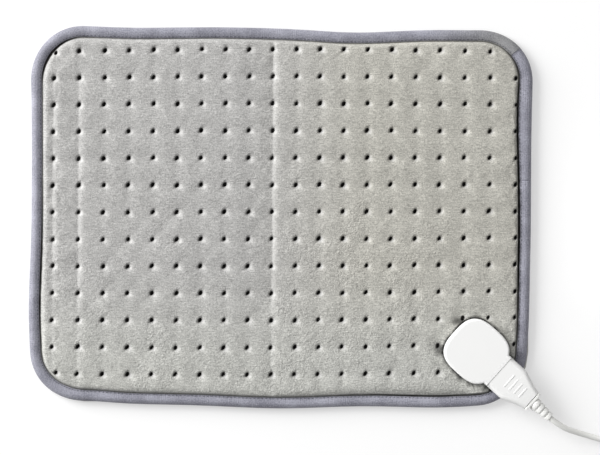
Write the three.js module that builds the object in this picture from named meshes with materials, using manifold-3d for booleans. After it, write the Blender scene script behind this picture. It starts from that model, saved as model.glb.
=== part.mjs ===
// Heating pad with a plug-in lead, a push-button hand controller and a mains plug.
// Millimetres, +Z up. The origin is the middle of the pad's underside and +X runs along its long side.
import * as THREE from "three";
import { mergeVertices } from "three/addons/utils/BufferGeometryUtils.js";
import Module from "manifold-3d";

const wasm = await Module();
wasm.setup();

// Gaps shared by all pieces
const SEAT_GAP = 0.3;
const SLIDE_GAP = 0.4;

// Pad
const PAD_LENGTH = 400;
const PAD_WIDTH = 300;
const PAD_CORNER = 42;
const BINDING_WIDTH = 8.5;
const BINDING_CLOTH = 0.9;
const BINDING_GRIP = 6.2;
const BOTTOM_HEM = 0.6;
const TOP_HEM = 2;
const CARRIER_THICKNESS = 0.4;
const WADDING_THICKNESS = 2;
const PLUSH_THICKNESS = 0.7;
const SKIRT_THICKNESS = 1.5;
const TUFT_DEPTH = 3.4;
const TUFT_PITCH_X = 19.45;
const TUFT_PITCH_Y = 21.65;
const TUFT_MARGIN = 14;
const TUFT_SHIFT_X = 2;
const TUFT_SHIFT_Y = 5;

// Heating circuit
const WIRE_DIAMETER = 1.4;
const WIRE_SIDE_MARGIN = 24;
const WIRE_RIGHT_MARGIN = 39;
const SUPPLY_FROM_RIGHT = 24;
const SUPPLY_BEND = 10;
const CUTOUT_LENGTH = 16;
const CUTOUT_WIDTH = 8;
const CUTOUT_HEIGHT = 3.6;
const CUTOUT_Y = -30;

// Socket on the pad
const SOCKET_FROM_RIGHT = 44.7;
const SOCKET_FROM_BOTTOM = 43;
const PLUG_ANGLE = -42;
const SOCKET_HALF = 23.4;
const SOCKET_SQUARENESS = 3.07;
const SOCKET_HEIGHT = 12.2;
const SOCKET_WALL = 2;
const SOCKET_BASE_THICKNESS = 2;
const MATING_LINE = 23.5;
const BACKING_SIZE = 40;
const BACKING_CORNER = 8;
const BACKING_THICKNESS = 1.2;
const CLAMPED_CLOTH = 1;
const SOCKET_SCREW_BACK = 13;
const SOCKET_SCREW_BACK_V = 12;
const SOCKET_SCREW_FRONT = 6;
const SOCKET_SCREW_FRONT_V = 16;
const SCREW_SHANK = 2.2;
const SCREW_HEAD = 4.4;
const SCREW_HEAD_HEIGHT = 0.8;
const SCREW_BOSS = 6;
const SOCKET_SCREW_REACH = 6;
const LEAD_SLOT_LENGTH = 18;
const LEAD_SLOT_WIDTH = 8;
const LEAD_SLOT_BACK = 4.5;

// Contacts
const PIN_DIAMETER = 2.4;
const PIN_SPACING = 12;
const PIN_TAIL = 6;
const PIN_TIP = 20;
const BLOCK_BACK = 1;
const BLOCK_LENGTH = 8;
const BLOCK_WIDTH = 21;
const SLEEVE_WALL = 0.7;

// Plug
const PLUG_LENGTH = 34.8;
const PLUG_WIDTH = 30;
const PLUG_END_WIDTH = 17.4;
const PLUG_HEIGHT = 11;
const PLUG_END_HEIGHT = 10;
const PLUG_PARALLEL = 14;
const PLUG_EDGE_RADIUS = 3.6;
const PLUG_WALL = 2;
const NOSE_WIDTH = 23;
const NOSE_HEIGHT = 6.2;
const NOSE_REACH = 11.5;
const NOSE_TAIL = 6;
const RIB_START = 11;
const RIB_PITCH = 4.7;
const RIB_COUNT = 4;
const RIB_LENGTH = 13;
const RIB_WIDTH = 1.2;
const RIB_HEIGHT = 0.5;

// Strain reliefs
const BOOT_LENGTH = 20;
const BOOT_RADIUS = 5.2;
const BOOT_END_RADIUS = 3.6;
const BOOT_RIBS = 5;
const BOOT_GROOVE = 1.1;
const BOOT_FLANGE = 2;
const BOOT_FLANGE_RADIUS = 6;
const BOOT_FLANGE_MARGIN = 0.7;
const BOOT_STUB_RADIUS = 3;
const BOOT_STUB_LENGTH = 4;

// Cord and its coils
const CORD_DIAMETER = 4.6;
const COIL_OUTER = 35.5;
const COIL_TURNS = 3;
const COIL_PITCH = 5.15;
const COIL_STEPS = 20;
const TIE_THICKNESS = 0.6;
const TIE_WIDTH = 8;
const TIE_SLACK = 1;
const PAD_COIL = [312, -147.5];
const MAINS_COIL = [318, 140];

// Controller
const CONTROLLER_X = 286;
const CONTROLLER_Y = -11;
const CONTROLLER_LENGTH = 118;
const CONTROLLER_WIDTH = 46;
const CONTROLLER_CORNER = 18;
const CONTROLLER_HEIGHT = 20;
const CONTROLLER_SPLIT = 10;
const CONTROLLER_WALL = 2;
const CONTROLLER_ROOF = 2.5;
const POST_X = 14;
const POST_Y = 42;
const POST_DIAMETER = 6.4;
const BOARD_THICKNESS = 1.6;
const BOARD_LENGTH = 92;
const BOARD_WIDTH = 36;
const BOARD_LOW = 7.2;
const POWER_DIAMETER = 15;
const STEP_DIAMETER = 13;
const STEP_BUTTON_Y = 20;
const BUTTON_PROUD = 1;
const BUTTON_FLANGE = 1.4;
const BUTTON_FLANGE_HEIGHT = 1.4;
const BUTTON_TRAVEL = 0.8;
const STEM_DIAMETER = 3.2;
const STEM_DIP = 0.6;
const SWITCH_SIZE = 7;
const SWITCH_HEIGHT = 3.8;
const SWITCH_WELL = 2.4;
const WINDOW_Y = 33.5;
const WINDOW_LENGTH = 23;
const WINDOW_WIDTH = 4;
const WINDOW_FLANGE = 1.6;
const CASE_SCREW_REACH = 5;

// Mains plug
const MAINS_X = 336;
const MAINS_Y = 54;
const MAINS_LENGTH = 36;
const MAINS_WIDTH = 34;
const MAINS_FACE_WIDTH = 30;
const MAINS_REAR_WIDTH = 14;
const MAINS_HEIGHT = 13.6;
const MAINS_REAR_HEIGHT = 11;
const MAINS_PIN_DIAMETER = 4;
const MAINS_PIN_SPACING = 19;
const MAINS_PIN_LENGTH = 19;
const MAINS_PIN_DEPTH = 9;

// Heights of the pad's layers, from the floor up
const hemInset = BINDING_WIDTH - BINDING_GRIP;
const panelInset = BINDING_WIDTH + SEAT_GAP;
const bottomHemLow = BINDING_CLOTH + SEAT_GAP;
const bottomTop = bottomHemLow + BOTTOM_HEM;
const carrierLow = bottomTop + SEAT_GAP;
const carrierTop = carrierLow + CARRIER_THICKNESS;
const stackLow = carrierTop + SEAT_GAP;
const topHemTop = stackLow + TOP_HEM;
const bindingTop = topHemTop + SEAT_GAP + BINDING_CLOTH;
const wireZ = stackLow + WIRE_DIAMETER / 2;
const wireTop = stackLow + WIRE_DIAMETER;
const waddingLow = wireTop + SEAT_GAP;
const waddingTop = waddingLow + WADDING_THICKNESS;
const panelRoof = waddingTop + SEAT_GAP;
const tuftFloor = panelRoof + PLUSH_THICKNESS;
const backingTop = waddingLow + BACKING_THICKNESS;
const clampLow = backingTop + SEAT_GAP;
const clampTop = clampLow + CLAMPED_CLOTH;
const cavityInset = panelInset + SKIRT_THICKNESS;

// Heights and places of the socket and the plug
const socketX = PAD_LENGTH / 2 - SOCKET_FROM_RIGHT;
const socketY = SOCKET_FROM_BOTTOM - PAD_WIDTH / 2;
const plugTurn = THREE.MathUtils.degToRad(PLUG_ANGLE);
const socketLow = Math.max(clampTop, bindingTop) + SEAT_GAP;
const socketTop = socketLow + SOCKET_HEIGHT;
const plugZ = socketLow + PLUG_HEIGHT / 2;
const plugStart = MATING_LINE + SEAT_GAP;
const plugEnd = MATING_LINE + PLUG_LENGTH;
const bootStart = plugEnd + SEAT_GAP;
const plugCordStart = bootStart + BOOT_LENGTH + SEAT_GAP;
const baseTop = socketLow + SOCKET_BASE_THICKNESS;
const sleeveInner = PIN_DIAMETER / 2 + SEAT_GAP;
const sleeveOuter = sleeveInner + SLEEVE_WALL;

// Heights of the controller's inside
const boardTop = BOARD_LOW + BOARD_THICKNESS;
const switchLow = boardTop + SEAT_GAP;
const switchTop = switchLow + SWITCH_HEIGHT;
const roofLow = CONTROLLER_HEIGHT - CONTROLLER_ROOF;
const flangeTop = roofLow - SEAT_GAP;
const flangeLow = flangeTop - BUTTON_FLANGE_HEIGHT;
const cordFloor = CORD_DIAMETER / 2 + TIE_THICKNESS + SEAT_GAP;
const layerPitch = COIL_PITCH;
const mainsZ = MAINS_HEIGHT / 2;

// Solids
function solid(geometry) {
  const bare = new THREE.BufferGeometry();
  bare.setAttribute("position", geometry.getAttribute("position").clone());
  if (geometry.index) {
    bare.setIndex(geometry.index.clone());
  }
  const merged = mergeVertices(bare, 1e-4);
  const kept = [];
  const index = merged.index.array;
  for (let i = 0; i < index.length; i += 3) {
    const [a, b, c] = [index[i], index[i + 1], index[i + 2]];
    if (a !== b && b !== c && c !== a) {
      kept.push(a, b, c);
    }
  }
  const vertProperties = merged.getAttribute("position").array;
  const triVerts = new Uint32Array(kept);
  return new wasm.Manifold(new wasm.Mesh({ numProp: 3, vertProperties, triVerts }));
}

function geometryOf(made) {
  const mesh = made.getMesh();
  const geometry = new THREE.BufferGeometry();
  geometry.setAttribute("position", new THREE.BufferAttribute(new Float32Array(mesh.vertProperties), 3));
  geometry.setIndex(new THREE.BufferAttribute(new Uint32Array(mesh.triVerts), 1));
  geometry.computeVertexNormals();
  return geometry;
}

function joined(solids) {
  return solids.reduce((whole, next) => whole.add(next));
}

function box(x0, x1, y0, y1, z0, z1) {
  const geometry = new THREE.BoxGeometry(x1 - x0, y1 - y0, z1 - z0);
  return solid(geometry.translate((x0 + x1) / 2, (y0 + y1) / 2, (z0 + z1) / 2));
}

function post(x, y, radius, z0, z1, sides = 12) {
  const geometry = new THREE.CylinderGeometry(radius, radius, z1 - z0, sides);
  return solid(geometry.rotateX(Math.PI / 2).translate(x, y, (z0 + z1) / 2));
}

function rodX(y, z, radius, x0, x1, sides = 12) {
  const geometry = new THREE.CylinderGeometry(radius, radius, x1 - x0, sides);
  return solid(geometry.rotateZ(Math.PI / 2).translate((x0 + x1) / 2, y, z));
}

function rodY(x, z, radius, y0, y1, sides = 12) {
  const geometry = new THREE.CylinderGeometry(radius, radius, y1 - y0, sides);
  return solid(geometry.translate(x, (y0 + y1) / 2, z));
}

function turned(profile, sides = 16) {
  const points = profile.map(([radius, height]) => new THREE.Vector2(radius, height));
  return solid(new THREE.LatheGeometry(points, sides).rotateX(Math.PI / 2));
}

// Outlines as rings of points, all turning the same way
function roundedRing(width, depth, radius, steps) {
  const ring = [];
  const corners = [[1, 1], [-1, 1], [-1, -1], [1, -1]];
  corners.forEach(([sx, sy], quarter) => {
    for (let k = 0; k <= steps; k += 1) {
      const angle = (quarter + k / steps) * Math.PI / 2;
      const x = sx * (width / 2 - radius) + radius * Math.cos(angle);
      const y = sy * (depth / 2 - radius) + radius * Math.sin(angle);
      ring.push([x, y]);
    }
  });
  return ring;
}

function padRing(inset, steps = 5) {
  return roundedRing(PAD_LENGTH - 2 * inset, PAD_WIDTH - 2 * inset, PAD_CORNER - inset, steps);
}

function socketRing(half, count = 32) {
  const ring = [];
  for (let k = 0; k < count; k += 1) {
    const angle = k / count * 2 * Math.PI;
    const power = 2 / SOCKET_SQUARENESS;
    const c = Math.cos(angle);
    const s = Math.sin(angle);
    ring.push([Math.sign(c) * half * Math.abs(c) ** power, Math.sign(s) * half * Math.abs(s) ** power]);
  }
  return ring;
}

function levelRing(ring, z) {
  return ring.map(([x, y]) => new THREE.Vector3(x, y, z));
}

// A skin through rings with the same number of points, closed by end faces or, for a hoop, back to the first ring.
function skinned(rings, hoop = false) {
  const count = rings[0].length;
  const positions = rings.flat().flatMap((p) => [p.x, p.y, p.z]);
  const index = [];
  const spans = hoop ? rings.length : rings.length - 1;
  for (let r = 0; r < spans; r += 1) {
    const low = r * count;
    const high = (r + 1) % rings.length * count;
    for (let k = 0; k < count; k += 1) {
      const n = (k + 1) % count;
      index.push(low + k, low + n, high + n, low + k, high + n, high + k);
    }
  }
  if (!hoop) {
    const last = (rings.length - 1) * count;
    for (let k = 1; k < count - 1; k += 1) {
      index.push(0, k + 1, k, last, last + k, last + k + 1);
    }
  }
  let volume = 0;
  const at = (i) => new THREE.Vector3(...positions.slice(3 * i, 3 * i + 3));
  for (let i = 0; i < index.length; i += 3) {
    volume += at(index[i]).dot(at(index[i + 1]).cross(at(index[i + 2])));
  }
  if (volume < 0) {
    for (let i = 0; i < index.length; i += 3) {
      [index[i + 1], index[i + 2]] = [index[i + 2], index[i + 1]];
    }
  }
  const geometry = new THREE.BufferGeometry();
  geometry.setAttribute("position", new THREE.BufferAttribute(new Float32Array(positions), 3));
  geometry.setIndex(index);
  return solid(geometry);
}

function prism(ring, z0, z1) {
  return skinned([levelRing(ring, z0), levelRing(ring, z1)]);
}

function placed(made, x, y, turn) {
  const matrix = new THREE.Matrix4().makeRotationZ(turn).setPosition(x, y, 0);
  return solid(geometryOf(made).applyMatrix4(matrix));
}

// A tube through hand-picked points, with one step from each point to the next.
class Route extends THREE.CatmullRomCurve3 {
  getUtoTmapping(u) {
    return u;
  }
}

function tube(points, diameter, sides) {
  const rim = [];
  for (let k = 0; k < sides; k += 1) {
    const angle = (k + 0.5) / sides * 2 * Math.PI;
    rim.push(new THREE.Vector2(Math.cos(angle), Math.sin(angle)).multiplyScalar(diameter / 2));
  }
  const extrudePath = new Route(points.map((p) => new THREE.Vector3(...p)));
  const options = { steps: points.length - 1, bevelEnabled: false, extrudePath };
  return solid(new THREE.ExtrudeGeometry(new THREE.Shape(rim), options));
}

// Materials
const colours = {
  plush: [0xb5b4b0, 1],
  backing: [0xb0afab, 1],
  binding: [0x90919a, 0.9],
  wadding: [0xe6e6e2, 1],
  carrier: [0xdadad4, 0.95],
  wire: [0xd8d2c4, 0.6],
  white: [0xf3f3f1, 0.35],
  cord: [0xf0f1ed, 0.45],
  insulator: [0x3a3a3c, 0.6],
  board: [0x2f6b44, 0.6],
  button: [0xd9dadd, 0.45],
  dark: [0x2b2b2d, 0.5],
  amber: [0xf2d6a0, 0.3],
  tie: [0xdcdcda, 0.7],
};
const metals = {
  steel: [0xb8bcc0, 0.35],
  brass: [0xc9a65a, 0.35],
};
const part = new THREE.Group();

function add(name, made, look, group = part) {
  const metal = look in metals;
  const [color, roughness] = metal ? metals[look] : colours[look];
  const material = new THREE.MeshStandardMaterial({ color, roughness, metalness: metal ? 1 : 0 });
  const mesh = new THREE.Mesh(geometryOf(made), material);
  mesh.name = name;
  group.add(mesh);
}

// Grid lines through the tufts, through the crowns between them and along both edges.
function tuftPlaces(size, pitch, shift) {
  const count = Math.floor((size - 2 * TUFT_MARGIN) / pitch) + 1;
  return Array.from({ length: count }, (_, k) => shift + (k - (count - 1) / 2) * pitch);
}

function gridLines(places, low, high) {
  const lines = [{ at: low, kind: "edge" }];
  places.forEach((at, k) => {
    lines.push({ at, kind: "tuft" });
    if (k + 1 < places.length) {
      lines.push({ at: (at + places[k + 1]) / 2, kind: "crown" });
    }
  });
  lines.push({ at: high, kind: "edge" });
  return lines;
}

function quiltHeight(a, b) {
  const crowns = (a.kind === "crown") + (b.kind === "crown");
  if (a.kind === "edge" || b.kind === "edge") {
    return tuftFloor + (crowns ? 0.3 : 0.12) * TUFT_DEPTH;
  }
  return tuftFloor + [0, 0.78, 1][crowns] * TUFT_DEPTH;
}

function quilt(xs, ys, floor) {
  const wide = xs.length;
  const deep = ys.length;
  const positions = [];
  const index = [];
  ys.forEach((y) => xs.forEach((x) => positions.push(x.at, y.at, quiltHeight(x, y))));
  for (let j = 0; j < deep - 1; j += 1) {
    for (let i = 0; i < wide - 1; i += 1) {
      const a = j * wide + i;
      const [b, c, d] = [a + 1, a + wide + 1, a + wide];
      if ((i + j) % 2) {
        index.push(a, b, c, a, c, d);
      } else {
        index.push(a, b, d, b, c, d);
      }
    }
  }
  const rim = [];
  for (let i = 0; i < wide - 1; i += 1) {
    rim.push(i);
  }
  for (let j = 0; j < deep - 1; j += 1) {
    rim.push(j * wide + wide - 1);
  }
  for (let i = wide - 1; i > 0; i -= 1) {
    rim.push((deep - 1) * wide + i);
  }
  for (let j = deep - 1; j > 0; j -= 1) {
    rim.push(j * wide);
  }
  const first = positions.length / 3;
  rim.forEach((k) => positions.push(positions[3 * k], positions[3 * k + 1], floor));
  const centre = first + rim.length;
  positions.push(0, 0, floor);
  rim.forEach((k, n) => {
    const m = (n + 1) % rim.length;
    index.push(rim[m], k, first + n, rim[m], first + n, first + m, centre, first + m, first + n);
  });
  const geometry = new THREE.BufferGeometry();
  geometry.setAttribute("position", new THREE.BufferAttribute(new Float32Array(positions), 3));
  geometry.setIndex(index);
  return solid(geometry);
}

// Pad layers
const columns = tuftPlaces(PAD_LENGTH, TUFT_PITCH_X, TUFT_SHIFT_X);
const rows = tuftPlaces(PAD_WIDTH, TUFT_PITCH_Y, TUFT_SHIFT_Y);
const halfPanelX = PAD_LENGTH / 2 - panelInset;
const halfPanelY = PAD_WIDTH / 2 - panelInset;
const xLines = gridLines(columns, -halfPanelX, halfPanelX);
const yLines = gridLines(rows, -halfPanelY, halfPanelY);

function footprint(grow, z0, z1) {
  const round = prism(socketRing(SOCKET_HALF + grow, 20), z0, z1);
  const half = PLUG_WIDTH / 2 + grow;
  const strip = box(0, MATING_LINE + PLUG_LENGTH, -half, half, z0, z1);
  return placed(round.add(strip), socketX, socketY, plugTurn);
}

const screwPlaces = [
  [-SOCKET_SCREW_BACK, SOCKET_SCREW_BACK_V],
  [-SOCKET_SCREW_BACK, -SOCKET_SCREW_BACK_V],
  [SOCKET_SCREW_FRONT, SOCKET_SCREW_FRONT_V],
  [SOCKET_SCREW_FRONT, -SOCKET_SCREW_FRONT_V],
];
const clearHole = SCREW_SHANK / 2 + SEAT_GAP;

function clampHoles(z0, z1) {
  const holes = screwPlaces.map(([u, v]) => post(u, v, clearHole, z0, z1, 6));
  const halfSlot = LEAD_SLOT_LENGTH / 2;
  const back = -LEAD_SLOT_BACK - LEAD_SLOT_WIDTH / 2;
  holes.push(box(back, back + LEAD_SLOT_WIDTH, -halfSlot, halfSlot, z0, z1));
  return joined(holes);
}

const clampGrow = SKIRT_THICKNESS + SEAT_GAP;
const bottomPanel = prism(padRing(hemInset), bottomHemLow, bottomTop)
  .add(prism(padRing(panelInset), 0, bottomHemLow));
add("bottom_panel", bottomPanel, "backing");
add("wire_carrier", prism(padRing(hemInset), carrierLow, carrierTop), "carrier");

const cavity = prism(padRing(cavityInset), carrierLow, panelRoof)
  .subtract(footprint(clampGrow, clampLow, panelRoof + 1));
const topPanel = quilt(xLines, yLines, stackLow)
  .intersect(prism(padRing(panelInset), carrierLow, tuftFloor + 2 * TUFT_DEPTH))
  .add(prism(padRing(hemInset), stackLow, topHemTop))
  .subtract(cavity)
  .subtract(footprint(SEAT_GAP, clampTop, socketTop))
  .subtract(placed(clampHoles(carrierLow, socketTop), socketX, socketY, plugTurn));
add("quilted_top_panel", topPanel, "plush");

const bindingProfile = [
  [BINDING_WIDTH, 0],
  [2.2, 0],
  [0.6, 0.2 * bindingTop],
  [0, 0.5 * bindingTop],
  [0.6, 0.8 * bindingTop],
  [2.2, bindingTop],
  [BINDING_WIDTH - 0.5, bindingTop],
  [BINDING_WIDTH, bindingTop - 0.4],
  [BINDING_WIDTH, bindingTop - BINDING_CLOTH],
  [hemInset - SEAT_GAP, bindingTop - BINDING_CLOTH],
  [hemInset - SEAT_GAP, BINDING_CLOTH],
  [BINDING_WIDTH, BINDING_CLOTH],
];
const bindingRings = bindingProfile.map(([inset, z]) => levelRing(padRing(inset), z));
add("edge_binding", skinned(bindingRings, true), "binding");

const supplyX = PAD_LENGTH / 2 - SUPPLY_FROM_RIGHT;
const cutoutLow = stackLow;
const cutoutTop = cutoutLow + CUTOUT_HEIGHT;
const halfCutout = CUTOUT_LENGTH / 2;
const wadding = prism(padRing(cavityInset + SEAT_GAP), waddingLow, waddingTop)
  .subtract(footprint(clampGrow + SEAT_GAP, waddingLow - 1, waddingTop + 1))
  .subtract(box(
    supplyX - CUTOUT_WIDTH / 2 - SEAT_GAP,
    supplyX + CUTOUT_WIDTH / 2 + SEAT_GAP,
    CUTOUT_Y - halfCutout - SEAT_GAP,
    CUTOUT_Y + halfCutout + SEAT_GAP,
    waddingLow - 1,
    waddingTop + 1,
  ));
add("wadding_sheet", wadding, "wadding");
const cutoutRing = roundedRing(CUTOUT_WIDTH, CUTOUT_LENGTH, 2, 2);
add("thermal_cutout", placed(prism(cutoutRing, cutoutLow, cutoutTop), supplyX, CUTOUT_Y, 0), "insulator");

// Heating circuit, laid between the rows of tufts
function inSocket(u, v) {
  const x = socketX + u * Math.cos(plugTurn) - v * Math.sin(plugTurn);
  const y = socketY + u * Math.sin(plugTurn) + v * Math.cos(plugTurn);
  return [x, y];
}

const wireEndTop = plugZ - PIN_DIAMETER / 2 - SEAT_GAP;
const [supplyEndX, supplyEndY] = inSocket(-LEAD_SLOT_BACK, PIN_SPACING / 2);
const [returnEndX, returnEndY] = inSocket(-LEAD_SLOT_BACK, -PIN_SPACING / 2);
const supplyRoute = [
  [supplyEndX, supplyEndY, wireEndTop],
  [supplyEndX, supplyEndY, backingTop + 1],
  [supplyEndX + 0.4, supplyEndY + 0.5, wireZ + 1],
  [supplyEndX + 2, supplyEndY + 2.2, wireZ],
  [supplyX - 3.5, supplyEndY + 15, wireZ],
  [supplyX, supplyEndY + 24, wireZ],
  [supplyX, supplyEndY + 30, wireZ],
  [supplyX, CUTOUT_Y - halfCutout - SEAT_GAP, wireZ],
];
add("supply_wire", tube(supplyRoute, WIRE_DIAMETER, 6), "wire");

const runs = rows.slice(0, -1).map((y, k) => (y + rows[k + 1]) / 2).reverse();
const leftTurn = -PAD_LENGTH / 2 + WIRE_SIDE_MARGIN + TUFT_PITCH_Y / 2;
const farRight = PAD_LENGTH / 2 - WIRE_RIGHT_MARGIN - TUFT_PITCH_Y / 2;
const besideSocket = socketX - 1.4 * SOCKET_HALF - TUFT_PITCH_Y;
const heatingRoute = [
  [supplyX, CUTOUT_Y + halfCutout + SEAT_GAP, wireZ],
  [supplyX, runs[0] - 3 * SUPPLY_BEND, wireZ],
  [supplyX, runs[0] - SUPPLY_BEND, wireZ],
  [supplyX - 0.29 * SUPPLY_BEND, runs[0] - 0.29 * SUPPLY_BEND, wireZ],
  [supplyX - SUPPLY_BEND, runs[0], wireZ],
  [supplyX - 3 * SUPPLY_BEND, runs[0], wireZ],
];
runs.forEach((y, k) => {
  const leftward = k % 2 === 0;
  const next = runs[k + 1];
  if (next === undefined) {
    heatingRoute.push([besideSocket - 20, y, wireZ], [besideSocket, y, wireZ]);
    return;
  }
  const turnX = leftward ? leftTurn : y < socketY + 2 * SOCKET_HALF ? besideSocket : farRight;
  const side = leftward ? -1 : 1;
  const radius = (y - next) / 2;
  heatingRoute.push([turnX - side * 14, y, wireZ], [turnX, y, wireZ]);
  for (const share of [0.25, 0.5, 0.75]) {
    const angle = share * Math.PI;
    heatingRoute.push([
      turnX + side * radius * Math.sin(angle),
      y - radius + radius * Math.cos(angle),
      wireZ,
    ]);
  }
  heatingRoute.push([turnX, next, wireZ], [turnX - side * 14, next, wireZ]);
});
heatingRoute.push(
  [returnEndX - 14, returnEndY - 4, wireZ],
  [returnEndX - 2.5, returnEndY - 0.4, wireZ],
  [returnEndX - 0.6, returnEndY, wireZ + 1],
  [returnEndX, returnEndY, backingTop + 1],
  [returnEndX, returnEndY, wireEndTop],
);
add("heating_wire", tube(heatingRoute, WIRE_DIAMETER, 5), "wire");

// Socket, in a group whose +X runs along the plug
const socket = new THREE.Group();
socket.position.set(socketX, socketY, 0);
socket.rotation.z = plugTurn;
part.add(socket);

const backingRing = roundedRing(BACKING_SIZE, BACKING_SIZE, BACKING_CORNER, 3);
const headSeat = waddingLow + SCREW_HEAD_HEIGHT;
const headSeats = screwPlaces.map(([u, v]) =>
  post(u, v, SCREW_HEAD / 2 + SEAT_GAP, waddingLow - 1, headSeat + SEAT_GAP, 10));
const backing = prism(backingRing, waddingLow, backingTop)
  .subtract(clampHoles(waddingLow - 1, backingTop + 1))
  .subtract(joined(headSeats));
add("socket_backing_plate", backing, "white", socket);

const baseHalf = SOCKET_HALF - SOCKET_WALL - SEAT_GAP;
const socketBase = prism(socketRing(baseHalf, 28), socketLow, baseTop)
  .subtract(clampHoles(socketLow - 1, baseTop + 1));
add("socket_base", socketBase, "white", socket);

function socketSkin(sections) {
  return skinned(sections.map(([inset, z]) => levelRing(socketRing(SOCKET_HALF - inset), z)));
}

function crossRing(x, width, height, radius, z) {
  return roundedRing(width, height, radius, 3).map(([a, b]) => new THREE.Vector3(x, a, z + b));
}

const socketRoof = socketTop - SOCKET_WALL;
const noseOpening = box(
  0,
  MATING_LINE + 1,
  -NOSE_WIDTH / 2 - SLIDE_GAP,
  NOSE_WIDTH / 2 + SLIDE_GAP,
  plugZ - NOSE_HEIGHT / 2 - SLIDE_GAP,
  plugZ + NOSE_HEIGHT / 2 + SLIDE_GAP,
);
const neck = skinned([0, MATING_LINE].map((x) =>
  crossRing(x, PLUG_WIDTH, PLUG_HEIGHT, PLUG_EDGE_RADIUS, plugZ)));
const bosses = screwPlaces.map(([u, v]) =>
  post(u, v, SCREW_BOSS / 2, baseTop + SEAT_GAP, socketRoof + 0.5));
const screwTop = baseTop + SOCKET_SCREW_REACH;
const pilots = screwPlaces.map(([u, v]) => post(u, v, clearHole, baseTop, screwTop + SEAT_GAP, 8));
const socketCover = socketSkin([
  [0, socketLow],
  [0, socketTop - 4.2],
  [0.5, socketTop - 2.2],
  [1.8, socketTop - 0.8],
  [4.2, socketTop],
])
  .add(neck)
  .subtract(socketSkin([
    [SOCKET_WALL, socketLow - 1],
    [SOCKET_WALL, socketRoof - 2],
    [SOCKET_WALL + 1.5, socketRoof],
  ]))
  .subtract(noseOpening)
  .add(joined(bosses))
  .subtract(joined(pilots));
add("socket_cover", socketCover, "white", socket);

const pinSides = [["left", 1], ["right", -1]];
const block = box(
  BLOCK_BACK,
  BLOCK_BACK + BLOCK_LENGTH,
  -BLOCK_WIDTH / 2,
  BLOCK_WIDTH / 2,
  baseTop + SEAT_GAP,
  plugZ + NOSE_HEIGHT / 2,
).subtract(joined(pinSides.map(([, side]) =>
  rodX(side * PIN_SPACING / 2, plugZ, PIN_DIAMETER / 2 + SEAT_GAP, BLOCK_BACK - 1, BLOCK_BACK + BLOCK_LENGTH + 1))));
add("socket_contact_block", block, "insulator", socket);
pinSides.forEach(([side, sign]) => {
  const pin = rodX(sign * PIN_SPACING / 2, plugZ, PIN_DIAMETER / 2, -PIN_TAIL, PIN_TIP);
  add(`socket_pin_${side}`, pin, "brass", socket);
});
screwPlaces.forEach(([u, v], k) => {
  const head = post(u, v, SCREW_HEAD / 2, waddingLow, headSeat, 10);
  const shank = post(u, v, SCREW_SHANK / 2, waddingLow, screwTop, 8);
  add(`socket_screw_${k + 1}`, head.add(shank), "steel", socket);
});

// Plug, in the same group
const plugSections = [
  [0, PLUG_WIDTH, PLUG_HEIGHT],
  [PLUG_PARALLEL, PLUG_WIDTH, PLUG_HEIGHT],
  [PLUG_PARALLEL + 3, PLUG_WIDTH - 0.8, PLUG_HEIGHT],
  [PLUG_PARALLEL + 8, (2 * PLUG_WIDTH + PLUG_END_WIDTH) / 3 - 0.4, PLUG_HEIGHT - 0.1],
  [PLUG_PARALLEL + 14, (PLUG_WIDTH + 2 * PLUG_END_WIDTH) / 3 - 0.6, PLUG_HEIGHT - 0.4],
  [PLUG_LENGTH, PLUG_END_WIDTH, PLUG_END_HEIGHT],
];

function plugSkin(inset, x0, x1) {
  const rings = plugSections.map(([along, width, height]) => {
    const x = Math.min(Math.max(MATING_LINE + along, x0), x1);
    return crossRing(x, width - 2 * inset, height - 2 * inset, PLUG_EDGE_RADIUS - inset, plugZ);
  });
  return skinned(rings);
}

const plugHollow = plugSkin(PLUG_WALL, plugStart + PLUG_WALL, plugEnd - PLUG_WALL);
const insertHole = box(
  plugStart - 1,
  plugStart + PLUG_WALL + 1,
  -NOSE_WIDTH / 2 - SEAT_GAP,
  NOSE_WIDTH / 2 + SEAT_GAP,
  plugZ - NOSE_HEIGHT / 2 - SEAT_GAP,
  plugZ + NOSE_HEIGHT / 2 + SEAT_GAP,
);
const plugRearHole = rodX(0, plugZ, BOOT_STUB_RADIUS + SEAT_GAP, plugEnd - PLUG_WALL - 1, plugEnd + 1, 14);
const plugBody = plugSkin(0, plugStart, plugEnd)
  .subtract(plugHollow)
  .subtract(insertHole)
  .subtract(plugRearHole);
const plugReach = plugEnd + 5;
const halfGap = SEAT_GAP / 2;
const below = box(0, plugReach, -PLUG_WIDTH, PLUG_WIDTH, plugZ - 2 * PLUG_HEIGHT, plugZ + halfGap);
const above = box(0, plugReach, -PLUG_WIDTH, PLUG_WIDTH, plugZ - halfGap, plugZ + 2 * PLUG_HEIGHT);
const plugTop = plugZ + PLUG_HEIGHT / 2;
const ribs = Array.from({ length: RIB_COUNT }, (_, k) => {
  const x = MATING_LINE + RIB_START + k * RIB_PITCH;
  const half = RIB_LENGTH / 2 - 0.5 * k;
  return box(x - RIB_WIDTH / 2, x + RIB_WIDTH / 2, -half, half, plugTop - 0.8, plugTop + RIB_HEIGHT);
});
add("plug_upper_shell", plugBody.subtract(below).add(joined(ribs)), "white", socket);
add("plug_lower_shell", plugBody.subtract(above), "white", socket);

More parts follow.
